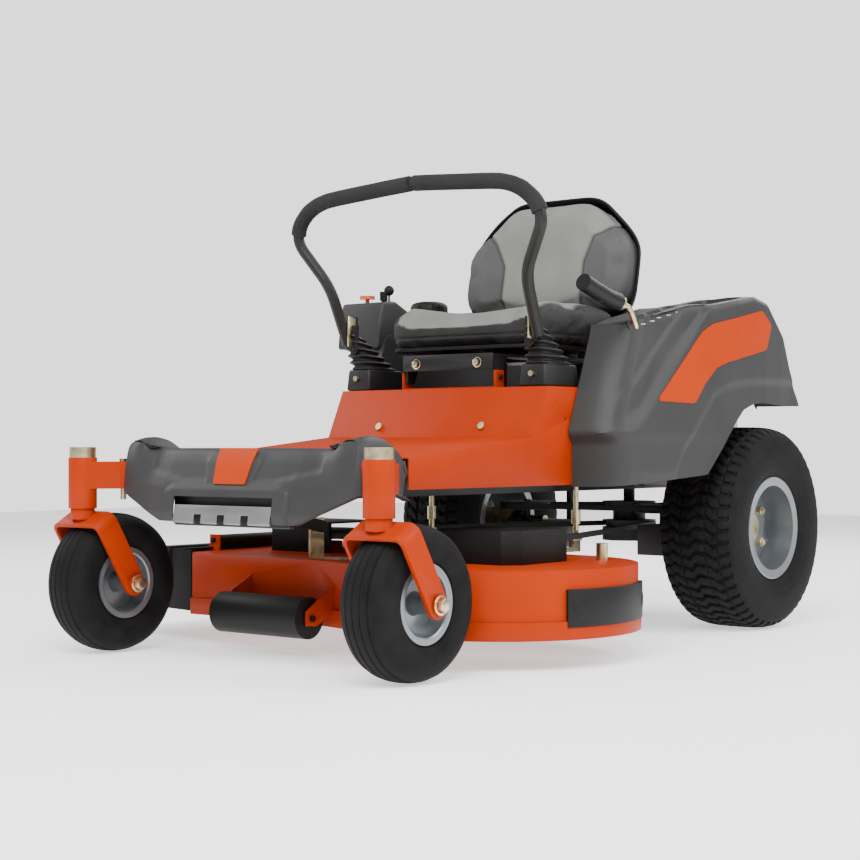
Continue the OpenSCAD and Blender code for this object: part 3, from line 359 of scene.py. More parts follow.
def tyre(node, outline, cut, around):
    low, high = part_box(node)
    middle = (low + high) / 2
    rows = []
    for i in range(around):
        turn = 2 * math.pi * i / around
        row = []
        for x, r in outline:
            r = r - cut(x, r, turn)
            row.append(Vector((middle.x + x / 1000, middle.y + math.cos(turn) * r / 1000,
                               middle.z + math.sin(turn) * r / 1000)))
        rows.append(row)
    rows.append(rows[0])
    made = from_grid(node + "_tread", rows)
    finish_mesh(made, 32)
    return place_piece(made, tread, node)


def spread_outline(points, step):
    """Points closely spaced along an outline of straight runs."""
    made = []
    for (x0, r0), (x1, r1) in zip(points, points[1:]):
        count = max(1, round(math.hypot(x1 - x0, r1 - r0) / step))
        made += [(x0 + (x1 - x0) * k / count, r0 + (r1 - r0) * k / count) for k in range(count)]
    return made + [points[-1]]


def smooth_step(value, low, high):
    t = min(1, max(0, (value - low) / (high - low)))
    return t * t * (3 - 2 * t)


def turf_cut(x, r, turn):
    if r < 212:
        rings = 0.9 * smooth_step(math.cos((r - 120) * 0.5), 0.75, 1)
        return rings if 125 < r < 200 else 0
    wave = turn * 52 / (2 * math.pi) + 0.22 * math.sin(x / 11.5) + 0.1 * math.sin(x / 4.6)
    part = abs((wave % 1) - 0.5) * 2
    groove = smooth_step(part, 0.58, 0.72)
    channel = 1 - smooth_step(min(abs(abs(x) - 30), abs(abs(x) - 62)), 1.2, 3)
    depth = 6.5 * smooth_step(r, 211, 218)
    return depth * max(groove, channel * 0.7)


half = [(-78, 103), (-79.5, 116), (-84, 121), (-90, 138), (-92.4, 158), (-92.4, 172), (-91, 190),
        (-88.5, 204.6),
        (-84, 215), (-76, 221.5), (-62, 226), (-40, 228), (0, 228.5)]
profile = spread_outline(half + [(-x, r) for x, r in half[-2::-1]], 3.2)
for side in ("left", "right"):
    tyre(side + "_rear_tyre", profile, turf_cut, 520)

# ---------------------------------------------------------------------------
# Caster tyres: smooth-shouldered rubber with four shallow ribs on the crown.


def rib_cut(x, r, turn):
    if r > 131:
        near = min(abs(x - k) for k in (-24, -8, 8, 24))
        return 2.2 * (1 - smooth_step(near, 0.8, 2.0))
    return 0.6 * smooth_step(math.cos((r - 70) * 0.62), 0.8, 1) if 78 < r < 126 else 0


half = [(-40.5, 64.5), (-41.2, 73), (-46, 76), (-50.5, 86), (-52.3, 97), (-52.4, 107), (-50, 118),
        (-46, 125.5),
        (-39, 131.5), (-27, 136.5), (-14, 139), (0, 139.6)]
profile = spread_outline(half + [(-x, r) for x, r in half[-2::-1]], 2.0)
for side in ("left", "right"):
    tyre(side + "_front_tyre", profile, rib_cut, 200)

# ---------------------------------------------------------------------------
# Fenders: thin shells of moulded grey plastic, one skin from the front edge
# round the side and over the top, with pressed steps and a rib over the arch.


def table(value, pairs):
    if value <= pairs[0][0]:
        return pairs[0][1]
    for (a, va), (b, vb) in zip(pairs, pairs[1:]):
        if value <= b:
            return va + (vb - va) * (value - a) / (b - a)
    return pairs[-1][1]


def along(points, t):
    """The point a fraction t of the way along a line of points."""
    runs = [math.dist(a, b) for a, b in zip(points, points[1:])]
    goal = t * sum(runs)
    for (a, b), run in zip(zip(points, points[1:]), runs):
        if goal <= run or (a, b) == (points[-2], points[-1]):
            k = min(1, goal / run)
            return [p + (q - p) * k for p, q in zip(a, b)]
        goal -= run


fender_front = [(-556, 329), (-556, 418), (-571, 441), (-484, 665)]
fender_low = [(-556, 329), (-252, 352), (-138, 464), (-101, 494), (-60, 507), (-18, 511), (157, 508),
              (236, 511)]
fender_high = [(-484, 665), (-430, 684), (-293, 716), (-209, 723), (-49, 750), (20, 738), (115, 668),
               (160, 600), (236, 511)]
plan = ((0, 284), (2, 305), (6, 330), (14, 358), (26, 382), (46, 396), (80, 405), (120, 412), (170, 420),
        (260, 431), (360, 439),
        (520, 440))
tail = ((-60, 440), (0, 438), (100, 425), (236, 398))


def fender_x(y, z):
    front = table(z, [(f[1], f[0]) for f in fender_front])
    return min(table(y - front, plan), table(y, tail))


def line_height(y, z, line):
    """How far a point lies above a line of (y, z) points, read straight down."""
    return z - table(y, line)


def fender_step(y, z):
    """How far the skin is pressed in at a point of its side."""
    panel = [(-730, 446), (-527, 465), (-473, 493), (-369, 618), (-252, 703), (-200, 760), (300, 900)]
    band = [(-727, 420), (-504, 437), (-465, 464), (-386, 549), (-303, 642), (-252, 703), (-200, 740),
            (300, 860)]
    rib_up = [(-369, 355), (-344, 406), (-226, 531), (-164, 553), (-60, 563), (60, 566), (240, 540)]
    rib_low = [(-303, 363), (-243, 453), (-155, 529), (-27, 577), (60, 580), (240, 560)]
    deep = 9 * smooth_step(line_height(y, z, band), -2,
                           line_height(y, z, band) - line_height(y, z, panel) + 6)
    arch = 5 * smooth_step(-line_height(y, z, rib_up), -8, 18) if y < 60 else 5 * smooth_step(566 - z, -8, 18)
    inner = 0
    if -473 < y < -330 or y <= -473:
        fold = [(-685, 498), (-515, 513), (-473, 547), (-418, 607), (-316, 703)]
        inner = 4 * smooth_step(line_height(y, z, fold), 0, 9)
    return -deep - inner - arch * 0.8


def fender(side, sign):
    rows = []
    across = 150
    for j in range(57):
        t = j / 56
        row = []
        for i in range(across + 1):
            s = i / across
            low, high = along(fender_low, s), along(fender_high, s)
            y, z = (low[k] + (high[k] - low[k]) * t for k in (0, 1))
            fy, fz = along(fender_front, t)
            by, bz = (fender_low[0][k] + (fender_high[0][k] - fender_low[0][k]) * t for k in (0, 1))
            fade = (1 - s) ** 6
            y, z = y + (fy - by) * fade, z + (fz - bz) * fade
            x = fender_x(y, z)
            if s < 0.999:
                x += fender_step(y, z) * smooth_step(s, 0.0, 0.03) * (1 - smooth_step(s, 0.9, 1))
            roll = smooth_step(t, 0.955, 1.0)
            x -= 7 * roll * roll
            row.append(at(sign * max(x, 283), y, z))
        rows.append(row)
    for j in range(1, 19):
        k = j / 18
        row = []
        for i in range(across + 1):
            s = i / across
            y, z = along(fender_high, s)
            x0 = max(fender_x(y, z) - 7, 283)
            x = x0 + (283 - x0) * k
            z = z + 5 * math.sin(math.pi * min(1, k * 1.5)) * (1 - s)
            if side == "left":
                tray = (smooth_step(x, 311, 317) * (1 - smooth_step(x, 402, 408))
                        * smooth_step(y, -236, -226) * (1 - smooth_step(y, -74, -62)))
                slot = (smooth_step(x, 360, 364) * (1 - smooth_step(x, 380, 384))
                        * smooth_step(y, -486, -478) * (1 - smooth_step(y, -268, -260)))
                z -= 62 * tray + 30 * slot * (1 - tray)
            else:
                cup = 1 - smooth_step(math.hypot(x + -362, y + 120), 38, 43)
                neck = 1 - smooth_step(math.hypot(x - 362, y + 230), 34, 38)
                z -= 62 * cup + 14 * neck
            row.append(at(sign * x, y, z))
        rows.append(row)
    for j in range(1, 9):
        row = []
        for i in range(across + 1):
            s = i / across
            y, z = along(fender_high, s)
            low = along(fender_low, s)
            row.append(at(sign * 283, y + (low[0] - y) * 0.5 * j / 8,
                          z + (max(low[1], 500) - z) * 0.9 * j / 8 if z > 540 else z - j))
        rows.append(row)
    made = from_grid(side + "_fender_shell", rows)
    finish_mesh(made, 50)
    shape = made.data
    if sum((p.normal.x * sign for p in shape.polygons if abs(p.normal.x) > 0.8 and abs(p.center.x - mid_x) > 0.39)) < 0:
        shape.flip_normals()
    wall = made.modifiers.new("wall", "SOLIDIFY")
    wall.thickness = 0.0035
    wall.offset = -1
    bpy.ops.object.modifier_apply(modifier="wall")
    bpy.ops.object.shade_smooth_by_angle(angle=math.radians(42))
    return made


for side, sign in (("left", 1), ("right", -1)):
    shell = fender(side, sign)
    place_piece(shell, grey, side + "_fender")

# Orange trim panel: thin gloss vinyl pressed on the skin above the wheel arch.
# It is cut to a slanted outline with a plain face.
trim = moulded("orange_trim", (0.4, 0.032, 0.0006), 0.4, 0.04, 900, 0.00004, coat=0.03, gloss=0.1)


def inside(y, z, ring):
    hit = False
    for (y0, z0), (y1, z1) in zip(ring, ring[1:] + ring[:1]):
        if (z0 > z) != (z1 > z) and y < y0 + (z - z0) * (y1 - y0) / (z1 - z0):
            hit = not hit
    return hit


def plate_on(name, ring, skin, lift, wall, material, body, step=6.0):
    """A thin plate with a given outline laid on a surface given as a function."""
    made = bpy.data.objects.new(name, bpy.data.meshes.new(name))
    bpy.context.scene.collection.objects.link(made)
    shape = bmesh.new()
    dense = spread_outline(ring + [ring[0]], step)[:-1]
    shape.faces.new([shape.verts.new((a, b, 0)) for a, b in dense])
    low = [min(p[k] for p in ring) for k in (0, 1)]
    high = [max(p[k] for p in ring) for k in (0, 1)]
    for k in (0, 1):
        count = int((high[k] - low[k]) / step / 2)
        for n in range(1, count):
            spot = [0, 0, 0]
            spot[k] = low[k] + (high[k] - low[k]) * n / count
            way = [0, 0, 0]
            way[k] = 1
            bmesh.ops.bisect_plane(shape, geom=shape.verts[:] + shape.edges[:] + shape.faces[:],
                                   plane_co=spot,
                                   plane_no=way, dist=0.01)
    for vert in shape.verts:
        vert.co = skin(vert.co.x, vert.co.y, lift)
    shape.to_mesh(made.data)
    shape.free()
    bpy.ops.object.select_all(action="DESELECT")
    made.select_set(True)
    bpy.context.view_layer.objects.active = made
    thick = made.modifiers.new("wall", "SOLIDIFY")
    thick.thickness = wall
    thick.offset = 0
    bpy.ops.object.modifier_apply(modifier="wall")
    finish_mesh(made, 40)
    made.data.materials.append(material)
    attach(made, body)
    return made


panel = [(-419, 508), (-312, 505), (-301, 507), (-264, 549), (-219, 584), (-175, 598), (-10, 630), (0, 634),
         (28, 684),
         (24, 692), (-19, 718), (-30, 719), (-227, 680), (-262, 664), (-290, 640), (-421, 516)]
for side, sign in (("left", 1), ("right", -1)):
    face = lambda y, z, up, sign=sign: at(sign * (fender_x(y, z) + fender_step(y, z) + up), y, z)
    plate_on(side + "_trim_panel", panel, face, 0.7, 0.0012, trim, "chassis")

# Height marks: six raised white ticks moulded beside the slot of the lift lever.
marks = moulded("white_marks", (0.75, 0.75, 0.73), 0.5, 0.05, 500, 0.00005)
for n, (y, z) in enumerate(((-461, 668), (-430, 676), (-399, 685), (-365, 692), (-333, 700), (-299, 709))):
    bpy.ops.mesh.primitive_cube_add(size=1, location=(0, 0, 0))
    tick = bpy.context.object
    tick.name = "height_mark_%d" % (n + 1)
    for vert in tick.data.vertices:
        vert.co = at(398 + vert.co.x * 9 + (3 if n % 2 else 0), y + vert.co.y * 2.4, z + vert.co.z * 1.4)
    tick.data.materials.append(marks)
    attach(tick, "chassis")

# ---------------------------------------------------------------------------
# Nose: one moulded grey plastic skin hung in front of the axle beam, with
# rounded shoulders, pressed panels and a raised frame round the step opening.
front_row = ((0, -1290), (60, -1290), (130, -1289.5), (170, -1288.5), (200, -1285), (240, -1277),
             (280, -1269), (302, -1263),
             (313, -1254), (318, -1238), (316, -1200), (308, -1160), (296, -1130), (284, -1106))


def nose_top(x, y):
    """Height of the nose's upper skin over a point of its plan."""
    base = 393 + 20 * smooth_step(-y, 1112, 1246)
    crest = smooth_step(x, 236, 278) * (1 - smooth_step(x, 304, 322) * 0.35)
    rise = table(y, [(-1270, -4), (-1252, 8), (-1225, 19), (-1195, 24), (-1165, 22), (-1135, 2),
                     (-1106, -34)])
    return base + (rise + (20 - 20 * smooth_step(-y, 1112, 1246)) * 0.4) * crest


def nose_press(x, z):
    """How far the front skin stands proud at a point of its face."""
    framed = smooth_step(164 - x, 0, 7) * smooth_step(341 - z - max(0, x - 140) * 0.35, 0, 7)
    panel = min(1, max(0, min(x - 74 + (z - 405) * -0.36, 226 - x, 404 - z,
                              z - (346 + max(0, x - 120) * 0.2)) / 6))
    return 6 * framed - 4.5 * smooth_step(panel, 0, 1)


nose_lean = [(271, 3), (290, 0), (338, 8), (385, 27), (413, 44), (440, 56)]
across = spread_outline([(-x, y) for x, y in front_row[:0:-1]] + list(front_row), 3.4)
rows = []
for level in [(0, 18), (0, 8)] + [(k / 26, 0) for k in range(27)]:
    row = []
    for x, y in across:
        far = abs(x)
        low = 271 + 58 * max(0, min(1, (far - 177) / 140))
        turned = smooth_step(far, 198, 282)
        high = nose_top(far * 0.985, y + 44 * (1 - turned) + 6) - 2
        z = low + (high - low) * level[0]
        lean = table(z, nose_lean) * (1 - turned) + turned * 12 * level[0] ** 2
        lean += level[1] - nose_press(far, z) * (1 - turned) + 4 * smooth_step(level[0], 0.9, 1)
        back = 1 - smooth_step(far, 300, 316) * 0.9
        row.append(at(x - math.copysign(lean * (1 - back) * 1.1, x), y + lean * back, z))
    rows.append(row)
edge_row = [((p.x - mid_x) * 1000, (p.y - axle.y) * 1000) for p in rows[-1]]
for k in range(1, 19):
    row = []
    for n, (x, y) in enumerate(edge_row):
        goal = (max(-232, min(232, x * 0.9)), -1112 if abs(x) < 250 else min(-1104, y + 6))
        px, py = x + (goal[0] - x) * k / 18, y + (goal[1] - y) * k / 18
        row.append(at(px, py, nose_top(abs(px), py)))
    rows.append(row)
nose = from_grid("nose_cover", rows)
shape = bmesh.new()
shape.from_mesh(nose.data)
gone = [f for f in shape.faces if abs(f.calc_center_median().x - mid_x) < 0.131 and f.calc_center_median().y < axle.y - 1.262
        and f.calc_center_median().z < 0.3195]
bmesh.ops.delete(shape, geom=gone, context="FACES")
bmesh.ops.remove_doubles(shape, verts=shape.verts, dist=0.00002)
crown = [v for v in shape.verts if v.co.z > 0.388 and not v.is_boundary]
for _ in range(14):
    bmesh.ops.smooth_vert(shape, verts=crown, factor=0.5, use_axis_x=True, use_axis_y=True, use_axis_z=True)
shape.to_mesh(nose.data)
shape.free()
finish_mesh(nose, 40)
if sum(p.normal.y for p in nose.data.polygons if p.center.y < axle.y - 1.26) > 0:
    nose.data.flip_normals()
wall = nose.modifiers.new("wall", "SOLIDIFY")
wall.thickness = 0.003
wall.offset = -1
bpy.ops.object.modifier_apply(modifier="wall")
bpy.ops.object.shade_smooth_by_angle(angle=math.radians(38))
place_piece(nose, grey, "foot_pan")

# Step carrier: black steel behind the opening, which the toe plate is bolted to.
bpy.ops.mesh.primitive_cube_add(size=1, location=(0, 0, 0))
carrier = bpy.context.object
carrier.name = "step_carrier"
for vert in carrier.data.vertices:
    vert.co = at(vert.co.x * 306, -1262 + vert.co.y * 14, 296 + vert.co.z * 66)
edge = carrier.modifiers.new("edge", "BEVEL")
edge.width = 0.002
bpy.ops.object.modifier_apply(modifier="edge")
finish_mesh(carrier, 35)
carrier.data.materials.append(black)
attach(carrier, "chassis")

# Nose badge: a blank slanted orange plate set in the face of the nose.
badge = [(-45, 410), (55, 410), (50, 345), (46, 343), (-31, 343), (-34, 347)]
nose_face = lambda x, z, up: at(x, -1290 + table(z, nose_lean) - up, z)
plate_on("nose_badge", badge, nose_face, 1.0, 0.0024, trim, "chassis")

# ---------------------------------------------------------------------------
# Seat cushions: foam under grained vinyl, pale in the middle and charcoal at
# the sides, drawn in along sewn seams. The foam's swell is a cloth simulation.


def vinyl(name):
    made, bsdf, place = shader(name, gloss=0.25)
    pale = place.make("Attribute", attribute_name="pale", out=2)
    wing = place.make("Attribute", attribute_name="wing", out=2)
    seam = place.make("Attribute", attribute_name="seam", out=2)
    drift = place.noise(12, 4)
    weave = place.noise(420, 3)
    skin = place.cells(850)
    light = drift.band(0.3, 0.7).mix((0.165, 0.168, 0.155), (0.2, 0.202, 0.187))
    middle = drift.band(0.3, 0.7).mix((0.062, 0.06, 0.061), (0.08, 0.078, 0.079))
    deep = drift.band(0.3, 0.7).mix((0.014, 0.014, 0.0145), (0.022, 0.022, 0.0225))
    colour = pale.mix(wing.mix(deep, middle), light)
    colour = (seam * 0.75).mix(colour, (0.02, 0.02, 0.02))
    feed(bsdf, colour, weave * 0.2 + 0.48, skin + weave * 0.6, 0.0005)
    return made


def cushion(name, node, mould, panels, cells, cap):
    """A padded form: mould places a rounded block, panels marks pale, wing and seam."""
    bpy.ops.mesh.primitive_cube_add(size=2, location=(0, 0, 0))
    made = bpy.context.object
    made.name = name
    bpy.ops.object.mode_set(mode="EDIT")
    bpy.ops.mesh.select_all(action="SELECT")
    bpy.ops.mesh.subdivide(number_cuts=31)
    bpy.ops.object.mode_set(mode="OBJECT")
    for vert in made.data.vertices:
        a, b, c = vert.co
        pull = (abs(a) ** 7 + abs(b) ** 7 + abs(c) ** 6) ** (-1 / 6.4)
        vert.co = mould(a * pull, b * pull, c * pull)
    size = made.modifiers.new("cells", "REMESH")
    size.mode = "VOXEL"
    size.voxel_size = cells
    bpy.ops.object.modifier_apply(modifier="cells")
    start = np.array([tuple(v.co) for v in made.data.vertices])
    soft = made.modifiers.new("swell", "CLOTH")
    soft.settings.use_pressure = True
    soft.settings.uniform_pressure_force = 4
    soft.settings.effector_weights.gravity = 0
    soft.point_cache.frame_end = 20
    for step in range(1, 21):
        bpy.context.scene.frame_set(step)
    bpy.ops.object.modifier_apply(modifier="swell")
    bpy.context.scene.frame_set(1)
    swollen = np.array([tuple(v.co) for v in made.data.vertices])
    move = swollen - start
    far = np.linalg.norm(move, axis=1, keepdims=True)
    swollen = start + move * np.minimum(1, cap / np.maximum(far, 1e-9))
    made.data.vertices.foreach_set("co", swollen.ravel())
    made.data.update()
    more = made.modifiers.new("finer", "SUBSURF")
    more.levels = more.render_levels = 1
    bpy.ops.object.modifier_apply(modifier="finer")
    pale = np.zeros(len(made.data.vertices))
    wing, seam = pale.copy(), pale.copy()
    normals = [v.normal.copy() for v in made.data.vertices]
    for i, vert in enumerate(made.data.vertices):
        pale[i], wing[i], seam[i] = panels(vert.co, normals[i])
        vert.co -= normals[i] * 0.0032 * seam[i]
    for label, values in (("pale", pale), ("wing", wing), ("seam", seam)):
        made.data.attributes.new(label, "FLOAT", "POINT").data.foreach_set("value", values)
    bpy.ops.object.shade_smooth()
    place_piece(made, vinyl(name + "_vinyl"), node)
    return made


def ring_distance(a, b, ring):
    """Distance from a ring of points, above zero inside it."""
    best = 1e9
    for (a0, b0), (a1, b1) in zip(ring, ring[1:] + ring[:1]):
        run = (a1 - a0, b1 - b0)
        k = max(0, min(1, ((a - a0) * run[0] + (b - b0) * run[1]) / (run[0] ** 2 + run[1] ** 2)))
        best = min(best, math.hypot(a - a0 - run[0] * k, b - b0 - run[1] * k))
    return best if inside(a, b, ring) else -best


def cushion_mould(a, b, c):
    x = a * (226 + 12 * b)
    y = -431 + b * 162 - 4 * (1 - a * a) * (b < 0)
    bolster = 16 * smooth_step(abs(a), 0.6, 0.95) - 9 * (1 - smooth_step(abs(a), 0.0, 0.75))
    fall = 14 * smooth_step(-b, 0.45, 1.0)
    z = 671 + c * 33 + (bolster - fall) * (c > 0) * smooth_step(c, 0, 0.8)
    return at(x, y, z - 3 * smooth_step(-c, 0.3, 1))


def cushion_panels(spot, normal):
    x, y, z = (spot.x - mid_x) * 1000, (spot.y - axle.y) * 1000, spot.z * 1000
    d = ring_distance(x, y, [(-172, -596), (172, -596), (186, -560), (196, -430), (186, -300), (170, -262),
                             (-170, -262),
                             (-186, -300), (-196, -430), (-186, -560)])
    top = smooth_step(normal.z, 0.25, 0.5)
    return (smooth_step(d, -1.5, 1.5) * top, 0.0,
            max((1 - smooth_step(abs(d), 0, 7)) * top,
                0.8 * (1 - smooth_step(abs(z - 652), 0, 5)) * (1 - top)))


def back_point(x, deep, high):
    tilt = math.radians(11.5)
    return at(x, -278 + deep * math.cos(tilt) + high * math.sin(tilt),
              706 - deep * math.sin(tilt) + high * math.cos(tilt))


def back_mould(a, b, c):
    high = 145 + b * 140
    wide = 229 - 92 * smooth_step(b, 0.0, 1.05) ** 1.2 - 10 * smooth_step(-b, 0.4, 1.0)
    hug = 22 * smooth_step(abs(a), 0.45, 0.95) * (1 - smooth_step(b, -0.1, 0.75))
    deep = 38 - c * 33 - hug * (c > 0) * smooth_step(c, 0, 0.8) + 4 * a * a - 16 * smooth_step(b, -0.2, 1.0)
    return back_point(a * wide, deep, high)


def back_panels(spot, normal):
    tilt = math.radians(11.5)
    x, y, z = (spot.x - mid_x) * 1000, (spot.y - axle.y) * 1000 + 278, spot.z * 1000 - 706
    high = y * math.sin(tilt) + z * math.cos(tilt)
    deep = y * math.cos(tilt) - z * math.sin(tilt)
    wing_edge = [(98, -30), (112, 60), (112, 130), (138, 188), (180, 218), (300, 238), (300, -30)]
    d = min(ring_distance(abs(x), high, wing_edge), 100)
    front = 1 - smooth_step(deep, 58, 64)
    wing = smooth_step(d, -1.5, 1.5)
    line = (1 - smooth_step(abs(d), 0, 7)) * front
    rim = 0.8 * (1 - smooth_step(abs(deep - 61), 0, 5))
    return (1 - wing) * front, front, max(line, rim)


cushion("seat_cushion_cover", "seat_cushion", cushion_mould, cushion_panels, 0.006, 0.012)
cushion("seat_back_cover", "seat_back", back_mould, back_panels, 0.006, 0.012)

# Seat frame: the pan, runners and side struts are black steel, and the back
# has a thin charcoal plastic shell that wraps round its edge.
softened("seat_shell", 0.0012, dark,
         drop=lambda p: (p.y - axle.y + 0.262) * math.cos(math.radians(15)) - (p.z - 0.706) * math.sin(math.radians(15)) > 0.0838
         and p.z > 0.7)
rows = []
for j in range(61):
    row = []
    for i in range(81):
        a, b = (i / 40 - 1) * 1.001, (j / 30 - 1) * 1.001
        pull = max(abs(a), abs(b)) / max(1e-9, (abs(a) ** 6 + abs(b) ** 6) ** (1 / 6))
        a, b = a * pull, b * pull
        edge_on = max(abs(a), abs(b))
        wide = 236 - 92 * smooth_step(b, 0.0, 1.05) ** 1.2 - 8 * smooth_step(-b, 0.4, 1.0)
        deep = 80 - 16 * smooth_step(b, -0.2,
                                     1.0) - 44 * smooth_step((a ** 8 + b ** 8) ** 0.125 if edge_on else 0,
                                                             0.86, 1.0)
        row.append(back_point(a * wide, deep, 145 + b * 147))
    rows.append(row)
back_shell = from_grid("seat_back_shell", rows)
finish_mesh(back_shell, 40)
wall = back_shell.modifiers.new("wall", "SOLIDIFY")
wall.thickness = 0.005
wall.offset = 0
bpy.ops.object.modifier_apply(modifier="wall")
finish_mesh(back_shell, 45)
back_shell.data.materials.append(dark)
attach(back_shell, body_of["seat_shell"])

# ---------------------------------------------------------------------------
# Lever boots: black moulded rubber bellows, clamped by a bolted collar over each slot.
boot_rubber = moulded("boot_rubber", (0.01, 0.01, 0.0105), 0.48, 0.2, 700, 0.0002)
for side, sign in (("left", 1), ("right", -1)):
    rows = []
    for j in range(65):
        t = j / 64
        pleat = 3.6 * math.sin(2 * math.pi * 5.5 * t) * smooth_step(t, 0.02,
                                                                    0.1) * (1 - smooth_step(t, 0.9, 0.98))
        wide, long = 30 - 13 * t + pleat, 52 - 33 * t + pleat
        x, y, z = 239 + 12 * t, -575 - 62 * t, 582 + 76 * t
        row = []
        for i in range(48):
            turn = 2 * math.pi * i / 48
            c, s = math.cos(turn), math.sin(turn)
            pull = (abs(c) ** 5 + abs(s) ** 5) ** -0.2
            row.append(at(sign * (x + c * pull * wide), y + s * pull * long, z - 12 * t * s * pull * 0.5))
        row.append(row[0])
        rows.append(row)
    bellows = from_grid(side + "_boot_bellows", rows)
    finish_mesh(bellows, 60)
    bellows.data.materials.append(boot_rubber)
    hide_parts(side + "_boot")
    tuple(at(sign * 239, -575, 588))
    tuple(at(sign * 251, -637, 655))
    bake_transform(bellows)
    bpy.ops.mesh.primitive_cube_add(size=1, location=(0, 0, 0))
    collar = bpy.context.object
    collar.name = side + "_boot_collar"
    for vert in collar.data.vertices:
        top = vert.co.z > 0
        vert.co = at(sign * (239 + vert.co.x * (62 if top else 68)), -575 + vert.co.y * (116 if top else 124),
                     561 + vert.co.z * 47)
    bpy.ops.object.select_all(action="DESELECT")
    collar.select_set(True)
    bpy.context.view_layer.objects.active = collar
    edge = collar.modifiers.new("edge", "BEVEL")
    edge.width = 0.005
    edge.segments = 3
    bpy.ops.object.modifier_apply(modifier="edge")
    finish_mesh(collar, 35)
    collar.data.materials.append(boot_rubber)
    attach(collar, "chassis")

# ---------------------------------------------------------------------------
# Control console: a moulded grey housing that stands on the front of the right
# fender and carries the blade knob, the throttle and the key.


def rounded_block(name, mould, width, segments, material, body):
    """A cube cut in half each way, moved to a shape and rounded over."""
    bpy.ops.mesh.primitive_cube_add(size=2, location=(0, 0, 0))
    made = bpy.context.object
    made.name = name
    bpy.ops.object.mode_set(mode="EDIT")
    bpy.ops.mesh.select_all(action="SELECT")
    bpy.ops.mesh.subdivide(number_cuts=1)
    bpy.ops.object.mode_set(mode="OBJECT")
    for vert in made.data.vertices:
        vert.co = mould(*vert.co)
    edge = made.modifiers.new("edge", "BEVEL")
    edge.width = width
    edge.segments = segments
    edge.angle_limit = math.radians(12)
    bpy.ops.object.modifier_apply(modifier="edge")
    finish_mesh(made, 35)
    made.data.materials.append(material)
    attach(made, body)
    return made


def console_shape(a, b, c):
    x = -358 + a * 66 - 6 * (b < 0) * (a < 0)
    front, top = ((-506, -500, -488), (640, 712, 748))
    y = (front[int(c) + 1], -440, -376)[int(b) + 1]
    z = ((640, 698, 748), (640, 704, 753), (640, 690, 724))[int(b) + 1][int(c) + 1]
    return at(x + (12 * (b < 0) if a < 0 else 0), y, z)


rounded_block("control_console", console_shape, 0.007, 4, grey, "chassis")

# Lift lever grip: a black moulded sleeve on the zinc rod.
lever_x = 372
sleeve_radius = 0.0178
sleeve_line = [(-516, 712.6), (-534, 715.1), (-556, 719), (-585, 727), (-612, 734.5), (-645, 744.5)]
handle = tube("lift_lever_sleeve", [at(lever_x, y, z) for y, z in sleeve_line], sleeve_radius, 24)
handle.data.materials.append(dark)
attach(handle, "lever")

# Fuel cap: black moulded dome with gripping ribs, screwed on the filler neck.
low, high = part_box("fuel_cap")
rim = (high.x - low.x) / 2
rows = []
dome = ((0.6, 0.0), (1.0, 0.0), (1.0, 0.62), (0.97, 0.74), (0.9, 0.84), (0.74, 0.93), (0.5, 0.98),
        (0.25, 1.0), (0.02, 1.0))
dome_height = 0.041
for radius, height in dome:
    row = []
    for k in range(96):
        turn = 2 * math.pi * k / 96
        ribbed = 0.022 * (k % 4 > 1) * (0.02 < height < 0.9)
        row.append(Vector(((low.x + high.x) / 2 + math.cos(turn) * rim * (radius - ribbed),
                           (low.y + high.y) / 2 + math.sin(turn) * rim * (radius - ribbed),
                           high.z - dome_height * (1 - height))))
    row.append(row[0])
    rows.append(row)
cap = from_grid("fuel_cap_dome", rows)
finish_mesh(cap, 40)
place_piece(cap, dark, "fuel_cap")

# Zinc bolt heads on the seat's cross bar, the caster axles and the lap bars' slotted brackets.


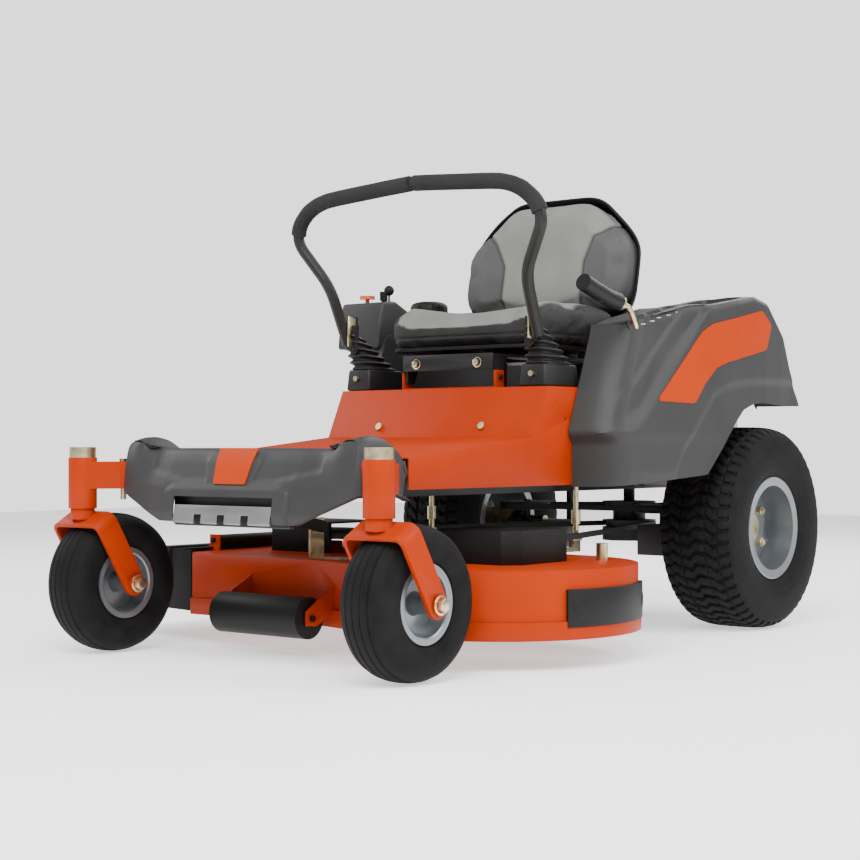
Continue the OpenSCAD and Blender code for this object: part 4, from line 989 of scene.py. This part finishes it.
def bolt_head(name, spot, axis, radius, height, body, sides=6):
    """A hexagon head with a washer under it, standing on a face."""
    turn = Vector(axis).to_track_quat("Z", "Y")
    washer = ("washer", radius * 1.35, 0, height * 0.25, 24)
    head = ("head", radius, height * 0.2, height, sides)
    for part, wide, low, high, count in (washer, head):
        bpy.ops.mesh.primitive_cylinder_add(vertices=count, radius=wide, depth=high - low, location=(0, 0, 0))
        made = bpy.context.object
        made.name = name + "_" + part
        for vert in made.data.vertices:
            vert.co = spot + turn @ (vert.co + Vector((0, 0, (low + high) / 2)))
        edge = made.modifiers.new("edge", "BEVEL")
        edge.width = height * 0.12
        edge.segments = 2
        edge.angle_limit = math.radians(40)
        bpy.ops.object.modifier_apply(modifier="edge")
        finish_mesh(made, 30)
        made.data.materials.append(zinc)
        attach(made, body)


for side, sign in (("left", 1), ("right", -1)):
    bolt_head(side + "_bar_bolt", at(sign * 83.5, -618, 592), (0, -1, 0), 0.0085, 0.009, "seat_plate")
    low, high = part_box(side + "_caster_fork")
    hub = (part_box(side + "_front_rim")[0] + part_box(side + "_front_rim")[1]) / 2
    for end, edge_x, way in (("outer", high.x - 0.004, 1), ("inner", low.x + 0.004, -1)):
        bolt_head(side + "_axle_bolt_" + end, Vector((edge_x, hub.y, hub.z)), (way, 0, 0), 0.0135, 0.012,
                  side + "_caster")
    bracket = lambda a, b, c, sign=sign: at(sign * (247 + a * 2.2), -648 + b * 13, 667 + c * 34 - b * 3)
    rounded_block(side + "_height_bracket", bracket, 0.0016, 2, zinc, side + "_bar")
    # The bolts sit above the boot, so they stay clear of it when the bar swings out.
    for n, height in enumerate((678, 693)):
        bolt_head(side + "_bracket_bolt_%d" % (n + 1), at(sign * 249, -650, height), (sign, 0, 0), 0.0052,
                  0.005,
                  side + "_bar")

# Deck bumper bosses: two round black rubber buttons bolted through the bumper.
low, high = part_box("deck_bumper")
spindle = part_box("left_spindle")
centre = (spindle[0] + spindle[1]) / 2
out = max(high.x - centre.x, 0) - 0.0035
for n, turn in enumerate((-20, 28)):
    facing = Vector((math.cos(math.radians(turn)), math.sin(math.radians(turn)), 0))
    spot = Vector((centre.x, centre.y, (low.z + high.z) / 2)) + facing * out
    bpy.ops.mesh.primitive_cylinder_add(vertices=40, radius=0.017, depth=0.009, location=(0, 0, 0))
    boss = bpy.context.object
    boss.name = "bumper_boss_%d" % (n + 1)
    way = facing.to_track_quat("Z", "Y")
    for vert in boss.data.vertices:
        vert.co = spot + way @ vert.co
    edge = boss.modifiers.new("edge", "BEVEL")
    edge.width = 0.0028
    edge.segments = 3
    edge.angle_limit = math.radians(40)
    bpy.ops.object.modifier_apply(modifier="edge")
    finish_mesh(boss, 30)
    boss.data.materials.append(dark)
    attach(boss, "deck")
